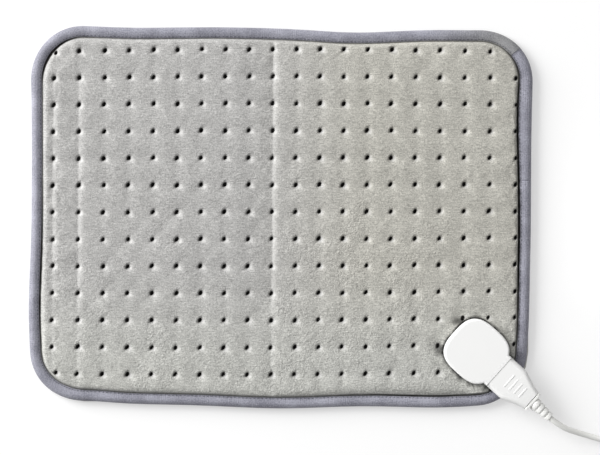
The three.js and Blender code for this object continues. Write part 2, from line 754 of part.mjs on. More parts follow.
const noseStart = MATING_LINE - NOSE_REACH;
const sleeveEnd = plugStart + NOSE_TAIL + 3;
const insert = skinned([noseStart, plugStart + NOSE_TAIL].map((x) =>
  crossRing(x, NOSE_WIDTH, NOSE_HEIGHT, 1.5, plugZ)))
  .subtract(joined(pinSides.map(([, side]) =>
    rodX(side * PIN_SPACING / 2, plugZ, sleeveOuter + SEAT_GAP, noseStart - 1, sleeveEnd))));
add("plug_contact_insert", insert, "insulator", socket);
pinSides.forEach(([side, sign]) => {
  const y = sign * PIN_SPACING / 2;
  const sleeve = rodX(y, plugZ, sleeveOuter, noseStart + 0.5, sleeveEnd)
    .subtract(rodX(y, plugZ, sleeveInner, noseStart, PIN_TIP + 1));
  add(`plug_contact_${side}`, sleeve, "brass", socket);
});

// A ribbed strain relief along +Y from its seat, with a stub behind the seat that sits in a wall.
function bootSolid(length, flangeRadius) {
  const profile = [[0, -BOOT_STUB_LENGTH], [BOOT_STUB_RADIUS, -BOOT_STUB_LENGTH], [BOOT_STUB_RADIUS, 0]];
  profile.push([flangeRadius, 0], [flangeRadius, BOOT_FLANGE]);
  const step = (length - BOOT_FLANGE) / BOOT_RIBS;
  for (let k = 0; k < BOOT_RIBS; k += 1) {
    const radius = BOOT_RADIUS + (BOOT_END_RADIUS - BOOT_RADIUS) * k / (BOOT_RIBS - 1);
    const start = BOOT_FLANGE + k * step;
    profile.push([radius - BOOT_GROOVE, start + 0.1 * step]);
    profile.push([radius, start + 0.4 * step], [radius, start + step]);
  }
  profile.push([0, length]);
  const points = profile.map(([radius, along]) => new THREE.Vector2(radius, along));
  return new THREE.LatheGeometry(points, 10);
}

const plugBootRing = (x) => crossRing(
  x,
  PLUG_END_WIDTH - 2 * BOOT_FLANGE_MARGIN,
  PLUG_END_HEIGHT - 2 * BOOT_FLANGE_MARGIN,
  PLUG_EDGE_RADIUS - BOOT_FLANGE_MARGIN,
  plugZ,
);
const plugBoot = solid(bootSolid(BOOT_LENGTH, BOOT_RADIUS - BOOT_GROOVE)
  .rotateZ(-Math.PI / 2).translate(bootStart, 0, plugZ))
  .add(skinned([plugBootRing(bootStart), plugBootRing(bootStart + BOOT_FLANGE)]));
add("plug_strain_relief", plugBoot, "white", socket);

// Coils
function coilPoints([x, y], startAngle, way) {
  const turns = 2 * COIL_TURNS + 0.5;
  const count = Math.round(turns * COIL_STEPS);
  const points = [];
  for (let k = 0; k <= count; k += 1) {
    const turn = turns * k / count;
    const fromMiddle = Math.abs(turn - turns / 2);
    const radius = COIL_OUTER - COIL_PITCH * (turns / 2 - fromMiddle);
    const climb = THREE.MathUtils.clamp(2 * (turn - turns / 2) + 0.5, 0, 1);
    const z = cordFloor + layerPitch * (1 - Math.cos(climb * Math.PI)) / 2;
    const angle = startAngle + way * turn * 2 * Math.PI;
    points.push([x + radius * Math.cos(angle), y + radius * Math.sin(angle), z]);
  }
  const lead = (angle, sign) => [-sign * way * Math.sin(angle), sign * way * Math.cos(angle)];
  const endAngle = startAngle + way * turns * 2 * Math.PI;
  const [sx, sy] = lead(startAngle, -1);
  const [ex, ey] = lead(endAngle, 1);
  const first = points[0];
  const last = points[points.length - 1];
  points.unshift([first[0] + sx * CORD_DIAMETER, first[1] + sy * CORD_DIAMETER, first[2]]);
  points.push([last[0] + ex * CORD_DIAMETER, last[1] + ey * CORD_DIAMETER, last[2]]);
  return points;
}

function leastGap(points) {
  const curve = new THREE.CatmullRomCurve3(points.map((p) => new THREE.Vector3(...p)));
  const count = Math.round(curve.getLength() / 1.5);
  const fine = curve.getSpacedPoints(count);
  const skip = Math.round(3 * CORD_DIAMETER / 1.5);
  let least = Infinity;
  for (let i = 0; i < fine.length; i += 1) {
    for (let j = i + skip; j < fine.length; j += 1) {
      least = Math.min(least, fine[i].distanceTo(fine[j]));
    }
  }
  return least - CORD_DIAMETER;
}

function tieAt([x, y], angle) {
  const turns = COIL_TURNS + 0.25;
  const inner = COIL_OUTER - COIL_PITCH * turns - CORD_DIAMETER / 2 - TIE_SLACK;
  const outer = COIL_OUTER + CORD_DIAMETER / 2;
  const top = cordFloor + layerPitch + CORD_DIAMETER / 2 + SEAT_GAP;
  const t = TIE_THICKNESS;
  const half = TIE_WIDTH / 2;
  const hoop = box(inner - t, outer + t, -half, half, 0, top + t)
    .subtract(box(inner, outer, -half - 1, half + 1, t, top));
  return placed(hoop, x, y, angle);
}

function endOf(points, fromStart) {
  const a = new THREE.Vector3(...(fromStart ? points[0] : points[points.length - 1]));
  const b = new THREE.Vector3(...(fromStart ? points[1] : points[points.length - 2]));
  const away = a.clone().sub(b).setLength(SEAT_GAP);
  return a.add(away).toArray();
}

// Pad lead
const padCoil = coilPoints(PAD_COIL, -Math.PI / 2, 1);
const mainsCoil = coilPoints(MAINS_COIL, Math.PI, -1);
console.log("pad lead coil least gap", leastGap(padCoil).toFixed(2), "mm");
console.log("mains lead coil least gap", leastGap(mainsCoil).toFixed(2), "mm");

const padLeadStart = [...inSocket(plugCordStart, 0), plugZ];
const padLead = [
  padLeadStart,
  [...inSocket(plugCordStart + 4, 0), plugZ - 0.1],
  [226, -168.3, 10.4],
  [234.6, -171.6, 7.6],
  [244, -174.6, 5],
  [255, -177.8, 3.5],
  [268, -180.8, cordFloor],
  [281, -182.4, cordFloor],
  [294, -183, cordFloor],
  [301, -183, cordFloor],
  endOf(padCoil, true),
];
const gland = CONTROLLER_LENGTH / 2 + SEAT_GAP + BOOT_LENGTH + SEAT_GAP;
const padTail = [
  endOf(padCoil, false),
  [302.6, -111.6, 8.6],
  [296.2, -109.6, 8.9],
  [290.6, -105.4, 9.3],
  [287.2, -99.6, 9.7],
  [CONTROLLER_X, -94.4, CONTROLLER_SPLIT],
  [CONTROLLER_X, CONTROLLER_Y - gland, CONTROLLER_SPLIT],
];
add("pad_lead", tube(padLead, CORD_DIAMETER, 8), "cord");
add("pad_lead_coil", tube(padCoil, CORD_DIAMETER, 6), "cord");
add("pad_lead_tail", tube(padTail, CORD_DIAMETER, 8), "cord");
add("pad_lead_tie", tieAt(PAD_COIL, 0), "tie");

// Mains lead
const mainsBootEnd = MAINS_Y + MAINS_LENGTH / 2 + SEAT_GAP + BOOT_LENGTH + SEAT_GAP;
const mainsLead = [
  [CONTROLLER_X, CONTROLLER_Y + gland, CONTROLLER_SPLIT],
  [CONTROLLER_X, 74, 9.8],
  [285.8, 84, 7.6],
  [285.2, 95, 5],
  [284.4, 106, 3.5],
  [283.4, 117, cordFloor],
  [282.6, 127, cordFloor],
  [282.5, 131, cordFloor],
  endOf(mainsCoil, true),
];
const mainsTail = [
  endOf(mainsCoil, false),
  [353.4, 129, 8.3],
  [351.6, 120, 8.1],
  [346.6, 111.4, 7.6],
  [340.2, 104.4, 7],
  [336.6, 98.6, mainsZ],
  [MAINS_X, mainsBootEnd, mainsZ],
];
add("mains_lead", tube(mainsLead, CORD_DIAMETER, 8), "cord");
add("mains_lead_coil", tube(mainsCoil, CORD_DIAMETER, 6), "cord");
add("mains_lead_tail", tube(mainsTail, CORD_DIAMETER, 8), "cord");
add("mains_lead_tie", tieAt(MAINS_COIL, Math.PI / 2), "tie");

// Controller, in its own group with its long side along +Y
const controller = new THREE.Group();
controller.position.set(CONTROLLER_X, CONTROLLER_Y, 0);
part.add(controller);

function caseSkin(sections) {
  return skinned(sections.map(([inset, z]) => levelRing(roundedRing(
    CONTROLLER_WIDTH - 2 * inset,
    CONTROLLER_LENGTH - 2 * inset,
    CONTROLLER_CORNER - inset,
    5,
  ), z)));
}

const postPlaces = [[POST_X, POST_Y], [-POST_X, POST_Y], [-POST_X, -POST_Y], [POST_X, -POST_Y]];
const postSeat = CONTROLLER_WALL + 1.2;
const caseScrewTop = boardTop + SEAT_GAP + CASE_SCREW_REACH;
const endReach = CONTROLLER_LENGTH / 2 + 1;
const endHoles = [-1, 1].map((sign) => {
  const span = [sign * endReach, sign * (endReach - CONTROLLER_WALL - 3)].sort((a, b) => a - b);
  return rodY(0, CONTROLLER_SPLIT, BOOT_STUB_RADIUS + SEAT_GAP, ...span, 14);
});
const caseHoles = postPlaces.map(([x, y]) => post(x, y, clearHole, 0, caseScrewTop + SEAT_GAP, 8));
const caseSeats = postPlaces.map(([x, y]) =>
  post(x, y, SCREW_HEAD / 2 + SEAT_GAP, -1, CONTROLLER_WALL - 0.2, 10));
const lowerPosts = postPlaces.map(([x, y]) =>
  post(x, y, POST_DIAMETER / 2, 0.5, BOARD_LOW - SEAT_GAP));
const bottomShell = caseSkin([
  [1.8, 0],
  [0.5, 0.6],
  [0, 2],
  [0, CONTROLLER_SPLIT - halfGap],
])
  .subtract(caseSkin([[CONTROLLER_WALL, CONTROLLER_WALL], [CONTROLLER_WALL, CONTROLLER_SPLIT + 1]]))
  .add(joined(lowerPosts))
  .subtract(joined(caseHoles))
  .subtract(joined(caseSeats))
  .subtract(joined(endHoles));
add("controller_bottom_shell", bottomShell, "white", controller);

const buttons = [
  ["plus", STEP_BUTTON_Y, STEP_DIAMETER],
  ["power", 0, POWER_DIAMETER],
  ["minus", -STEP_BUTTON_Y, STEP_DIAMETER],
];
const buttonHoles = buttons.map(([, y, diameter]) =>
  post(0, y, diameter / 2, roofLow - 1, CONTROLLER_HEIGHT + 1, 16));
const windowRing = (grow) => roundedRing(WINDOW_LENGTH + 2 * grow, WINDOW_WIDTH + 2 * grow, 1.5 + grow, 3);
const windowHole = placed(prism(windowRing(SEAT_GAP), roofLow - 1, CONTROLLER_HEIGHT + 1), 0, WINDOW_Y, 0);
const upperPosts = postPlaces.map(([x, y]) =>
  post(x, y, POST_DIAMETER / 2, boardTop + SEAT_GAP, roofLow + 0.5));
const topShell = caseSkin([
  [0, CONTROLLER_SPLIT + halfGap],
  [0, CONTROLLER_HEIGHT - 3.6],
  [0.7, CONTROLLER_HEIGHT - 1.6],
  [2.2, CONTROLLER_HEIGHT - 0.4],
  [4.2, CONTROLLER_HEIGHT],
])
  .subtract(caseSkin([
    [CONTROLLER_WALL, CONTROLLER_SPLIT - 1],
    [CONTROLLER_WALL, roofLow - 1.5],
    [CONTROLLER_WALL + 1.5, roofLow],
  ]))
  .add(joined(upperPosts))
  .subtract(joined(caseHoles))
  .subtract(joined(buttonHoles))
  .subtract(windowHole)
  .subtract(joined(endHoles));
add("controller_top_shell", topShell, "white", controller);

const boardRing = roundedRing(BOARD_WIDTH, BOARD_LENGTH, 8, 3);
const board = prism(boardRing, BOARD_LOW, boardTop).subtract(joined(caseHoles));
add("circuit_board", board, "board", controller);

postPlaces.forEach(([x, y], k) => {
  const headTop = CONTROLLER_WALL - 0.2 - SEAT_GAP;
  const head = post(x, y, SCREW_HEAD / 2, headTop - SCREW_HEAD_HEIGHT, headTop, 10);
  const shank = post(x, y, SCREW_SHANK / 2, headTop - 0.2, caseScrewTop, 8);
  add(`case_screw_${k + 1}`, head.add(shank), "steel", controller);
});

const stemLow = switchTop - STEM_DIP;
buttons.forEach(([name, y, diameter]) => {
  const cap = diameter / 2 - SLIDE_GAP;
  const top = CONTROLLER_HEIGHT + BUTTON_PROUD;
  const button = turned([
    [0, stemLow],
    [STEM_DIAMETER / 2, stemLow],
    [STEM_DIAMETER / 2, flangeLow],
    [diameter / 2 + BUTTON_FLANGE, flangeLow],
    [diameter / 2 + BUTTON_FLANGE, flangeTop],
    [cap, flangeTop],
    [cap, top - 0.7],
    [cap - 0.7, top],
    [0, top],
  ], 16);
  add(`${name}_button`, placed(button, 0, y, 0), "button", controller);
  const half = SWITCH_SIZE / 2;
  const well = post(0, y, STEM_DIAMETER / 2 + SEAT_GAP, switchTop - SWITCH_WELL, switchTop + 1, 12);
  const body = box(-half, half, y - half, y + half, switchLow, switchTop).subtract(well);
  add(`${name}_switch`, body, "dark", controller);
});

const guide = prism(windowRing(0), flangeTop - 0.2, CONTROLLER_HEIGHT)
  .add(prism(windowRing(WINDOW_FLANGE), flangeLow, flangeTop));
add("light_guide", placed(guide, 0, WINDOW_Y, 0), "amber", controller);
const barHalf = WINDOW_LENGTH / 2 - 1.5;
add("light_bar", box(-barHalf, barHalf, WINDOW_Y - 1.5, WINDOW_Y + 1.5, switchLow, switchLow + 2), "amber", controller);

const hangTop = BOARD_LOW - SEAT_GAP;
const relay = box(-7.5, 7.5, -32, -20, hangTop - 4.4, hangTop);
const capacitor = box(-9, 9, 12, 18, hangTop - 4.4, hangTop);
add("power_relay", relay, "dark", controller);
add("film_capacitor", capacitor, "amber", controller);
add("fuse", rodX(32, hangTop - 2.2, 2.2, -9, 9), "steel", controller);

for (const [name, sign] of [["pad_lead", -1], ["mains_lead", 1]]) {
  const geometry = bootSolid(BOOT_LENGTH, BOOT_FLANGE_RADIUS);
  if (sign < 0) {
    geometry.rotateZ(Math.PI);
  }
  geometry.translate(0, sign * (CONTROLLER_LENGTH / 2 + SEAT_GAP), CONTROLLER_SPLIT);
  add(`${name}_gland`, solid(geometry), "white", controller);
}

// Mains plug, in its own group with its pins along -Y
const mains = new THREE.Group();
mains.position.set(MAINS_X, MAINS_Y, mainsZ);
part.add(mains);

function mainsRing(y, width, height, radius) {
  return roundedRing(width, height, radius, 3).map(([a, b]) => new THREE.Vector3(a, y, b));
}

const mainsFace = -MAINS_LENGTH / 2;
const mainsRear = MAINS_LENGTH / 2;
const mainsPins = [["left", -1], ["right", 1]];
const pinHole = MAINS_PIN_DIAMETER / 2 + SEAT_GAP;
const mainsBody = skinned([
  mainsRing(mainsFace, MAINS_FACE_WIDTH, MAINS_HEIGHT, 4),
  mainsRing(mainsFace + 9, MAINS_WIDTH, MAINS_HEIGHT, 4),
  mainsRing(mainsFace + 20, MAINS_WIDTH - 8, MAINS_HEIGHT, 4),
  mainsRing(mainsRear, MAINS_REAR_WIDTH, MAINS_REAR_HEIGHT, 4),
])
  .subtract(joined(mainsPins.map(([, sign]) =>
    rodY(sign * MAINS_PIN_SPACING / 2, 0, pinHole, mainsFace - 1, mainsFace + MAINS_PIN_DEPTH))))
  .subtract(rodY(0, 0, BOOT_STUB_RADIUS + SEAT_GAP, mainsRear - BOOT_STUB_LENGTH - SEAT_GAP, mainsRear + 1, 14));
add("mains_plug_body", mainsBody, "white", mains);
mainsPins.forEach(([side, sign]) => {
  const radius = MAINS_PIN_DIAMETER / 2;
  const back = MAINS_PIN_DEPTH - SEAT_GAP;
  const points = [[0, -back], [radius, -back], [radius, MAINS_PIN_LENGTH - 1.4], [1.2, MAINS_PIN_LENGTH], [0, MAINS_PIN_LENGTH]]
    .map(([r, along]) => new THREE.Vector2(r, along));
  const geometry = new THREE.LatheGeometry(points, 12).rotateZ(Math.PI);
  add(`mains_pin_${side}`, solid(geometry.translate(sign * MAINS_PIN_SPACING / 2, mainsFace, 0)), "brass", mains);
});
const mainsBoot = bootSolid(BOOT_LENGTH, BOOT_RADIUS).translate(0, mainsRear + SEAT_GAP, 0);
add("mains_plug_boot", solid(mainsBoot), "white", mains);

export default part;
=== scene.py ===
import math
import random

import bmesh
import bpy
from mathutils import Matrix, Vector, noise


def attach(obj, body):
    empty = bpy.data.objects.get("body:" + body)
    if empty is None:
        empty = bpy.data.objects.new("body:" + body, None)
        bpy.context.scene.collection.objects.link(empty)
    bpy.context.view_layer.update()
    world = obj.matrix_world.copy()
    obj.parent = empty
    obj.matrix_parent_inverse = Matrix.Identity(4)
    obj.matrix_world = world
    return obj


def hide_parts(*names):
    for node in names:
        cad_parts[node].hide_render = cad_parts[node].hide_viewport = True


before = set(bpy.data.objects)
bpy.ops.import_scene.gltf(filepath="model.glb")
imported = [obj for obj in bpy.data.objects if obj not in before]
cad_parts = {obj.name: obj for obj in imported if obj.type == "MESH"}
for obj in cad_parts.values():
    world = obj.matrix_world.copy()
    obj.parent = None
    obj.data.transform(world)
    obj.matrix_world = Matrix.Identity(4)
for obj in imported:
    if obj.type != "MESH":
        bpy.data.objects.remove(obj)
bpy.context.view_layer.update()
mm = 0.001
scene = bpy.context.scene
scene.view_settings.view_transform = "Standard"


def addObject(name, data):
    item = bpy.data.objects.new(name, data)
    scene.collection.objects.link(item)
    return item


# Camera straight above the pad, as in the photograph
cameraSet = {"place": (14.8, -8.4, 1600), "lens": 119.6, "sensor": 36}
cameraData = bpy.data.cameras.new("camera")
cameraData.lens = cameraSet["lens"]
cameraData.sensor_width = cameraSet["sensor"]
camera = addObject("camera", cameraData)
camera.location = Vector(cameraSet["place"]) * mm
scene.camera = camera
print("camera placed")


# Small helpers for working as by hand
def freshStart():
    if bpy.context.object and bpy.context.object.mode != "OBJECT":
        bpy.ops.object.mode_set(mode="OBJECT")
    bpy.ops.object.select_all(action="DESELECT")


def pick(piece):  # selected alone, and active
    freshStart()
    piece.select_set(True)
    bpy.context.view_layer.objects.active = piece


def addBox(x, y, z):  # each is a pair of limits in mm
    freshStart()
    middle = [(a[0] + a[1]) / 2 * mm for a in (x, y, z)]
    size = [(a[1] - a[0]) * mm for a in (x, y, z)]
    bpy.ops.mesh.primitive_cube_add(size=1, location=middle, scale=size)
    bpy.ops.object.transform_apply(location=True, rotation=True, scale=True)
    return bpy.context.object


def addPost(x, y, radius, z, sides=48):
    freshStart()
    bpy.ops.mesh.primitive_cylinder_add(
        vertices=sides, radius=radius * mm, depth=(z[1] - z[0]) * mm,
        location=(x * mm, y * mm, (z[0] + z[1]) / 2 * mm))
    bpy.ops.object.transform_apply(location=True, rotation=True, scale=True)
    return bpy.context.object


def edit(piece):
    pick(piece)
    bpy.ops.object.mode_set(mode="EDIT")


def done():
    bpy.ops.object.mode_set(mode="OBJECT")


def chooseAll():
    bpy.ops.mesh.select_all(action="SELECT")


def choose(kind, test):  # selects verts, edges or faces whose middle passes the test, in mm
    piece = bpy.context.edit_object
    bpy.ops.mesh.select_mode(type={"verts": "VERT", "edges": "EDGE", "faces": "FACE"}[kind])
    bpy.ops.mesh.select_all(action="DESELECT")
    shape = bmesh.from_edit_mesh(piece.data)
    for item in getattr(shape, kind):
        if kind == "verts":
            fits = test(item.co / mm)
        elif kind == "edges":
            a, b = item.verts[0].co / mm, item.verts[1].co / mm
            fits = test((a + b) / 2, (b - a).normalized())
        else:
            fits = test(item.calc_center_median() / mm, item.normal)
        if fits:
            item.select_set(True)
    shape.select_flush_mode()
    bmesh.update_edit_mesh(piece.data)


def upright(at, way):  # edges that stand on end
    return abs(way.z) > 0.9


def lengthwise(at, way):  # edges along X
    return abs(way.x) > 0.9


def bevel(width, segments, profile=0.5):
    bpy.ops.mesh.bevel(offset=width * mm, segments=segments, profile=profile, clamp_overlap=True)


def roundOff(test, width, segments, profile=0.5):
    choose("edges", test)
    bevel(width, segments, profile)


def combine(piece, tool, way):
    pick(piece)
    change = piece.modifiers.new("combine", "BOOLEAN")
    change.operation = way
    change.object = tool
    change.solver = "EXACT"
    bpy.ops.object.modifier_apply(modifier=change.name)
    bpy.data.objects.remove(tool)


def joinAll(pieces):
    freshStart()
    for piece in pieces:
        piece.select_set(True)
    bpy.context.view_layer.objects.active = pieces[0]
    bpy.ops.object.join()
    return pieces[0]


def copyOf(piece):
    twin = piece.copy()
    twin.data = piece.data.copy()
    scene.collection.objects.link(twin)
    return twin


def moved(place):
    return Matrix.Translation(Vector(place) * mm)


def settle(piece, place):
    pick(piece)
    piece.matrix_world = place @ piece.matrix_world
    bpy.ops.object.transform_apply(location=True, rotation=True, scale=True)


def raisedBar(x, y, z, corner, edge=None):  # corner and top edge are each a bevel's width and segments
    bar = addBox(x, y, z)
    edit(bar)
    roundOff(upright, *corner)
    if edge:
        roundOff(lambda at, way: at.z > z[1] - 0.01, *edge)
    done()
    return bar


def keepSide(piece, level, side, fill):  # a copy cut off level, still in edit mode, its cut edges selected
    half = copyOf(piece)
    edit(half)
    chooseAll()
    bpy.ops.mesh.bisect(plane_co=(0, 0, level * mm), plane_no=(0, 0, side), use_fill=fill, clear_inner=True)
    choose("edges", lambda at, way: abs(at.z - level) < 0.001)
    return half


def taper(axis, sections, ends, full, level=0):  # cuts a block across, and draws each section to its size
    for at, width, high in sections:
        plane, way = [0, 0, 0], [0, 0, 0]
        plane[axis], way[axis] = at * mm, 1
        chooseAll()
        bpy.ops.mesh.bisect(plane_co=plane, plane_no=way)
    for at, width, high in sections + ends:
        size, middle = [1, 1, high / full[1]], [0, 0, level * mm]
        size[1 - axis], middle[axis] = width / full[0], at * mm
        choose("verts", lambda co: abs(co[axis] - at) < 0.01)
        bpy.ops.transform.resize(value=size, center_override=middle)


def pieceFrom(shape, name):
    bmesh.ops.recalc_face_normals(shape, faces=shape.faces[:])
    mesh = bpy.data.meshes.new(name)
    shape.to_mesh(mesh)
    shape.free()
    print(name, len(mesh.polygons), "faces")
    return addObject(name, mesh)


def paint(piece, finish):
    piece.data.materials.clear()
    piece.data.materials.append(finish)


def dress(piece, name, body, nodes=(), angle=32, finish=None):
    pick(piece)
    if finish:
        paint(piece, finish)
    if piece.type == "MESH":
        bpy.ops.object.shade_smooth_by_angle(angle=math.radians(angle))
    if piece.type == "MESH" and angle < 50:  # keeps the flats of moulded pieces flat to the eye
        even = piece.modifiers.new("even", "WEIGHTED_NORMAL")
        even.keep_sharp = True
        bpy.ops.object.modifier_apply(modifier=even.name)
    piece.name = name
    piece.data.name = name
    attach(piece, body)
    if nodes:
        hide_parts(*nodes)
    return piece


def turnedPiece(profile, steps=40):  # spins a profile of (radius, along) in mm about +X
    freshStart()
    bpy.ops.mesh.primitive_plane_add(size=1 * mm)
    piece = bpy.context.object
    edit(piece)
    bpy.ops.mesh.select_mode(type="VERT")
    chooseAll()
    bpy.ops.mesh.merge(type="CENTER")
    radius, along = profile[0]
    bpy.ops.transform.translate(value=(along * mm, radius * mm, 0))
    for nextRadius, nextAlong in profile[1:]:
        step = ((nextAlong - along) * mm, (nextRadius - radius) * mm, 0)
        bpy.ops.mesh.extrude_vertices_move(TRANSFORM_OT_translate={"value": step})
        radius, along = nextRadius, nextAlong
    chooseAll()
    bpy.ops.mesh.spin(steps=steps, angle=2 * math.pi, center=(0, 0, 0), axis=(1, 0, 0))
    chooseAll()
    bpy.ops.mesh.remove_doubles(threshold=0.002 * mm)
    bpy.ops.mesh.normals_make_consistent(inside=False)
    done()
    return piece


def clamp(t, low=0, high=1):
    return min(max(t, low), high)


def smooth(t):
    t = clamp(t)
    return t * t * (3 - 2 * t)


# Finishes, and the settings that many of their nodes share
times = {"operation": "MULTIPLY"}
timesPlus = {"operation": "MULTIPLY_ADD"}
plus = {"operation": "ADD"}
greater = {"operation": "MAXIMUM"}
eased = {"interpolation_type": "SMOOTHSTEP"}
blended = {"data_type": "RGBA"}
deepened = {"data_type": "RGBA", "blend_type": "MULTIPLY"}


def tint(code):  # sRGB hex to linear
    parts = [int(code[k:k + 2], 16) / 255 for k in (1, 3, 5)]
    return tuple(c / 12.92 if c <= 0.04045 else ((c + 0.055) / 1.055) ** 2.4 for c in parts) + (1,)


def addNode(tree, kind, inputs=None, settings=None, out=0):  # gives back one of the node's outputs
    node = tree.nodes.new(kind)
    for name, value in (settings or {}).items():
        setattr(node, name, value)
    for name, value in (inputs or {}).items():
        if isinstance(value, bpy.types.NodeSocket):
            tree.links.new(value, node.inputs[name])
        else:
            node.inputs[name].default_value = value
    return node.outputs[out] if node.outputs else None


def newFinish(name):
    finish = bpy.data.materials.new(name)
    finish.use_nodes = True
    finish.node_tree.nodes.clear()
    return finish, finish.node_tree


def plushFleece(name, cool, warm, low, paintedShadeTone, paintedHighlightTone):
    # brushed polyester plush: fully matt and mottled, a short lying nap in faint streaks along X,
    # cool at the left and warm at the right, with a tone of its own along the bottom
    finish, tree = newFinish(name)
    place = addNode(tree, "ShaderNodeTexCoord", out="Object")
    streakMap = addNode(tree, "ShaderNodeMapping", {  # nap streaks 5.5 by 1 mm
        "Vector": place, "Scale": (1 / (5.5 * mm), 1 / (1.0 * mm), 1 / (3 * mm))})
    streak = addNode(tree, "ShaderNodeTexNoise", {
        "Vector": streakMap, "Scale": 1, "Detail": 2, "Roughness": 0.6})
    grain = addNode(tree, "ShaderNodeTexNoise", {  # pile ends, drawn coarse so that they show
        "Vector": place, "Scale": 1 / (1.0 * mm), "Detail": 2, "Roughness": 0.6})
    mottle = addNode(tree, "ShaderNodeTexNoise", {
        "Vector": place, "Scale": 1 / (24 * mm), "Detail": 3, "Roughness": 0.55})
    nap = 1.0
    for layer, reach, depth in ((streak, 0.25, 0.22), (grain, 0.25, 0.38), (mottle, 0.2, 0.05)):
        shade = addNode(tree, "ShaderNodeMapRange", {
            "Value": layer, "From Min": 0.5 - reach, "From Max": 0.5 + reach,
            "To Min": 1 - depth, "To Max": 1 + depth})
        nap = addNode(tree, "ShaderNodeMath", {0: nap, 1: shade}, times)
    spread = addNode(tree, "ShaderNodeSeparateXYZ", {"Vector": place}).node.outputs
    ground = tint(cool)
    for way, start, end, tone in (("X", -40, 80, warm), ("Y", -30, -130, low)):
        share = addNode(tree, "ShaderNodeMapRange", {
            "Value": spread[way], "From Min": start * mm, "From Max": end * mm}, eased)
        ground = addNode(tree, "ShaderNodeMix", {0: share, 6: ground, 7: tint(tone)}, blended, 2)
    napped = addNode(tree, "ShaderNodeMix", {0: 1.0, 6: ground, 7: nap}, deepened, 2)
    # the tuft attribute is painted shade where above zero (tuft holes, the seam's valley, the gap round the
    # socket, beside the dragged tufts) and painted highlight where below zero
    tuft = addNode(tree, "ShaderNodeAttribute", settings={"attribute_name": "tuft"}, out="Fac")
    paintedHighlight = addNode(tree, "ShaderNodeMath", {0: tuft, 1: -1.0}, times)  # painted highlight, on the lit sides of holes and folds
    colour = addNode(tree, "ShaderNodeMix", {0: paintedHighlight, 6: napped, 7: tint(paintedHighlightTone)}, blended, 2)
    colour = addNode(tree, "ShaderNodeMix", {0: tuft, 6: colour, 7: tint(paintedShadeTone)}, blended, 2)
    ruffle = addNode(tree, "ShaderNodeTexNoise", {
        "Vector": place, "Scale": 1 / (2.6 * mm), "Detail": 2, "Roughness": 0.5, "Distortion": 0.8})
    patch = addNode(tree, "ShaderNodeTexNoise", {"Vector": place, "Scale": 1 / (38 * mm), "Detail": 1})
    patch = addNode(tree, "ShaderNodeMath", {  # ruffled more towards the bottom
        0: spread["Y"], 1: -1.6, 2: patch}, timesPlus)
    patch = addNode(tree, "ShaderNodeMapRange", {
        "Value": patch, "From Min": 0.45, "From Max": 0.8, "To Min": 0.4, "To Max": 2.9}, eased)
    height = addNode(tree, "ShaderNodeMath", {0: streak, 1: grain}, plus)
    height = addNode(tree, "ShaderNodeMath", {0: ruffle, 1: patch, 2: height}, timesPlus)
    bump = addNode(tree, "ShaderNodeBump", {"Height": height, "Strength": 0.55, "Distance": 0.5 * mm})
    shader = addNode(tree, "ShaderNodeBsdfPrincipled", {
        "Base Color": colour, "Roughness": 0.95, "Specular IOR Level": 0.15, "IOR": 1.5,
        "Sheen Weight": 0.15, "Sheen Roughness": 0.5, "Normal": bump})
    addNode(tree, "ShaderNodeOutputMaterial", {"Surface": shader})
    return finish


def wovenTape(name, base, deep, along=1.5, across=1.2, join=None, beyond=None):
    # woven polyester tape: crossing yarns with a soft satin lustre, a little uneven in tone,
    # duller for a stretch beyond its join; its UV map is in metres along and across the tape
    finish, tree = newFinish(name)
    place = addNode(tree, "ShaderNodeTexCoord", out="UV")
    yarn = 1.0
    for way, pitch in (("X", along), ("Y", across)):  # yarns drawn coarse to show
        strand = addNode(tree, "ShaderNodeTexWave", {
            "Vector": place, "Scale": 0.314 / (pitch * mm), "Distortion": 1.2, "Detail": 1},
            {"bands_direction": way}, "Fac")
        yarn = addNode(tree, "ShaderNodeMath", {0: yarn, 1: strand}, times)
    drift = addNode(tree, "ShaderNodeTexNoise", {
        "Vector": place, "Scale": 1 / (18 * mm), "Detail": 4, "Roughness": 0.6})
    fleck = addNode(tree, "ShaderNodeTexNoise", {
        "Vector": place, "Scale": 1 / (1.2 * mm), "Detail": 2, "Roughness": 0.6})
    mixed = addNode(tree, "ShaderNodeMath", {0: fleck, 1: 1.1, 2: drift}, timesPlus)
    tone = addNode(tree, "ShaderNodeMapRange", {"Value": mixed, "From Min": 0.8, "From Max": 1.3})
    colour = addNode(tree, "ShaderNodeMix", {0: tone, 6: tint(deep), 7: tint(base)}, blended, 2)
    if join:
        run = addNode(tree, "ShaderNodeSeparateXYZ", {"Vector": place}, out="X")
        past = addNode(tree, "ShaderNodeMapRange", {
            "Value": run, "From Min": (join - 0.4) * mm, "From Max": (join + 0.4) * mm})
        fading = addNode(tree, "ShaderNodeMapRange", {
            "Value": run, "From Min": (join + 20) * mm, "From Max": (join + 80) * mm,
            "To Min": 1, "To Max": 0})
        worn = addNode(tree, "ShaderNodeMath", {0: past, 1: fading}, times)
        colour = addNode(tree, "ShaderNodeMix", {0: worn, 6: colour, 7: tint(beyond)}, deepened, 2)
    bump = addNode(tree, "ShaderNodeBump", {"Height": yarn, "Strength": 0.6, "Distance": 0.3 * mm})
    shader = addNode(tree, "ShaderNodeBsdfPrincipled", {
        "Base Color": colour, "Roughness": 0.62, "Specular IOR Level": 0.35, "IOR": 1.5,
        "Sheen Weight": 0.2, "Sheen Roughness": 0.4, "Normal": bump})
    addNode(tree, "ShaderNodeOutputMaterial", {"Surface": shader})
    return finish


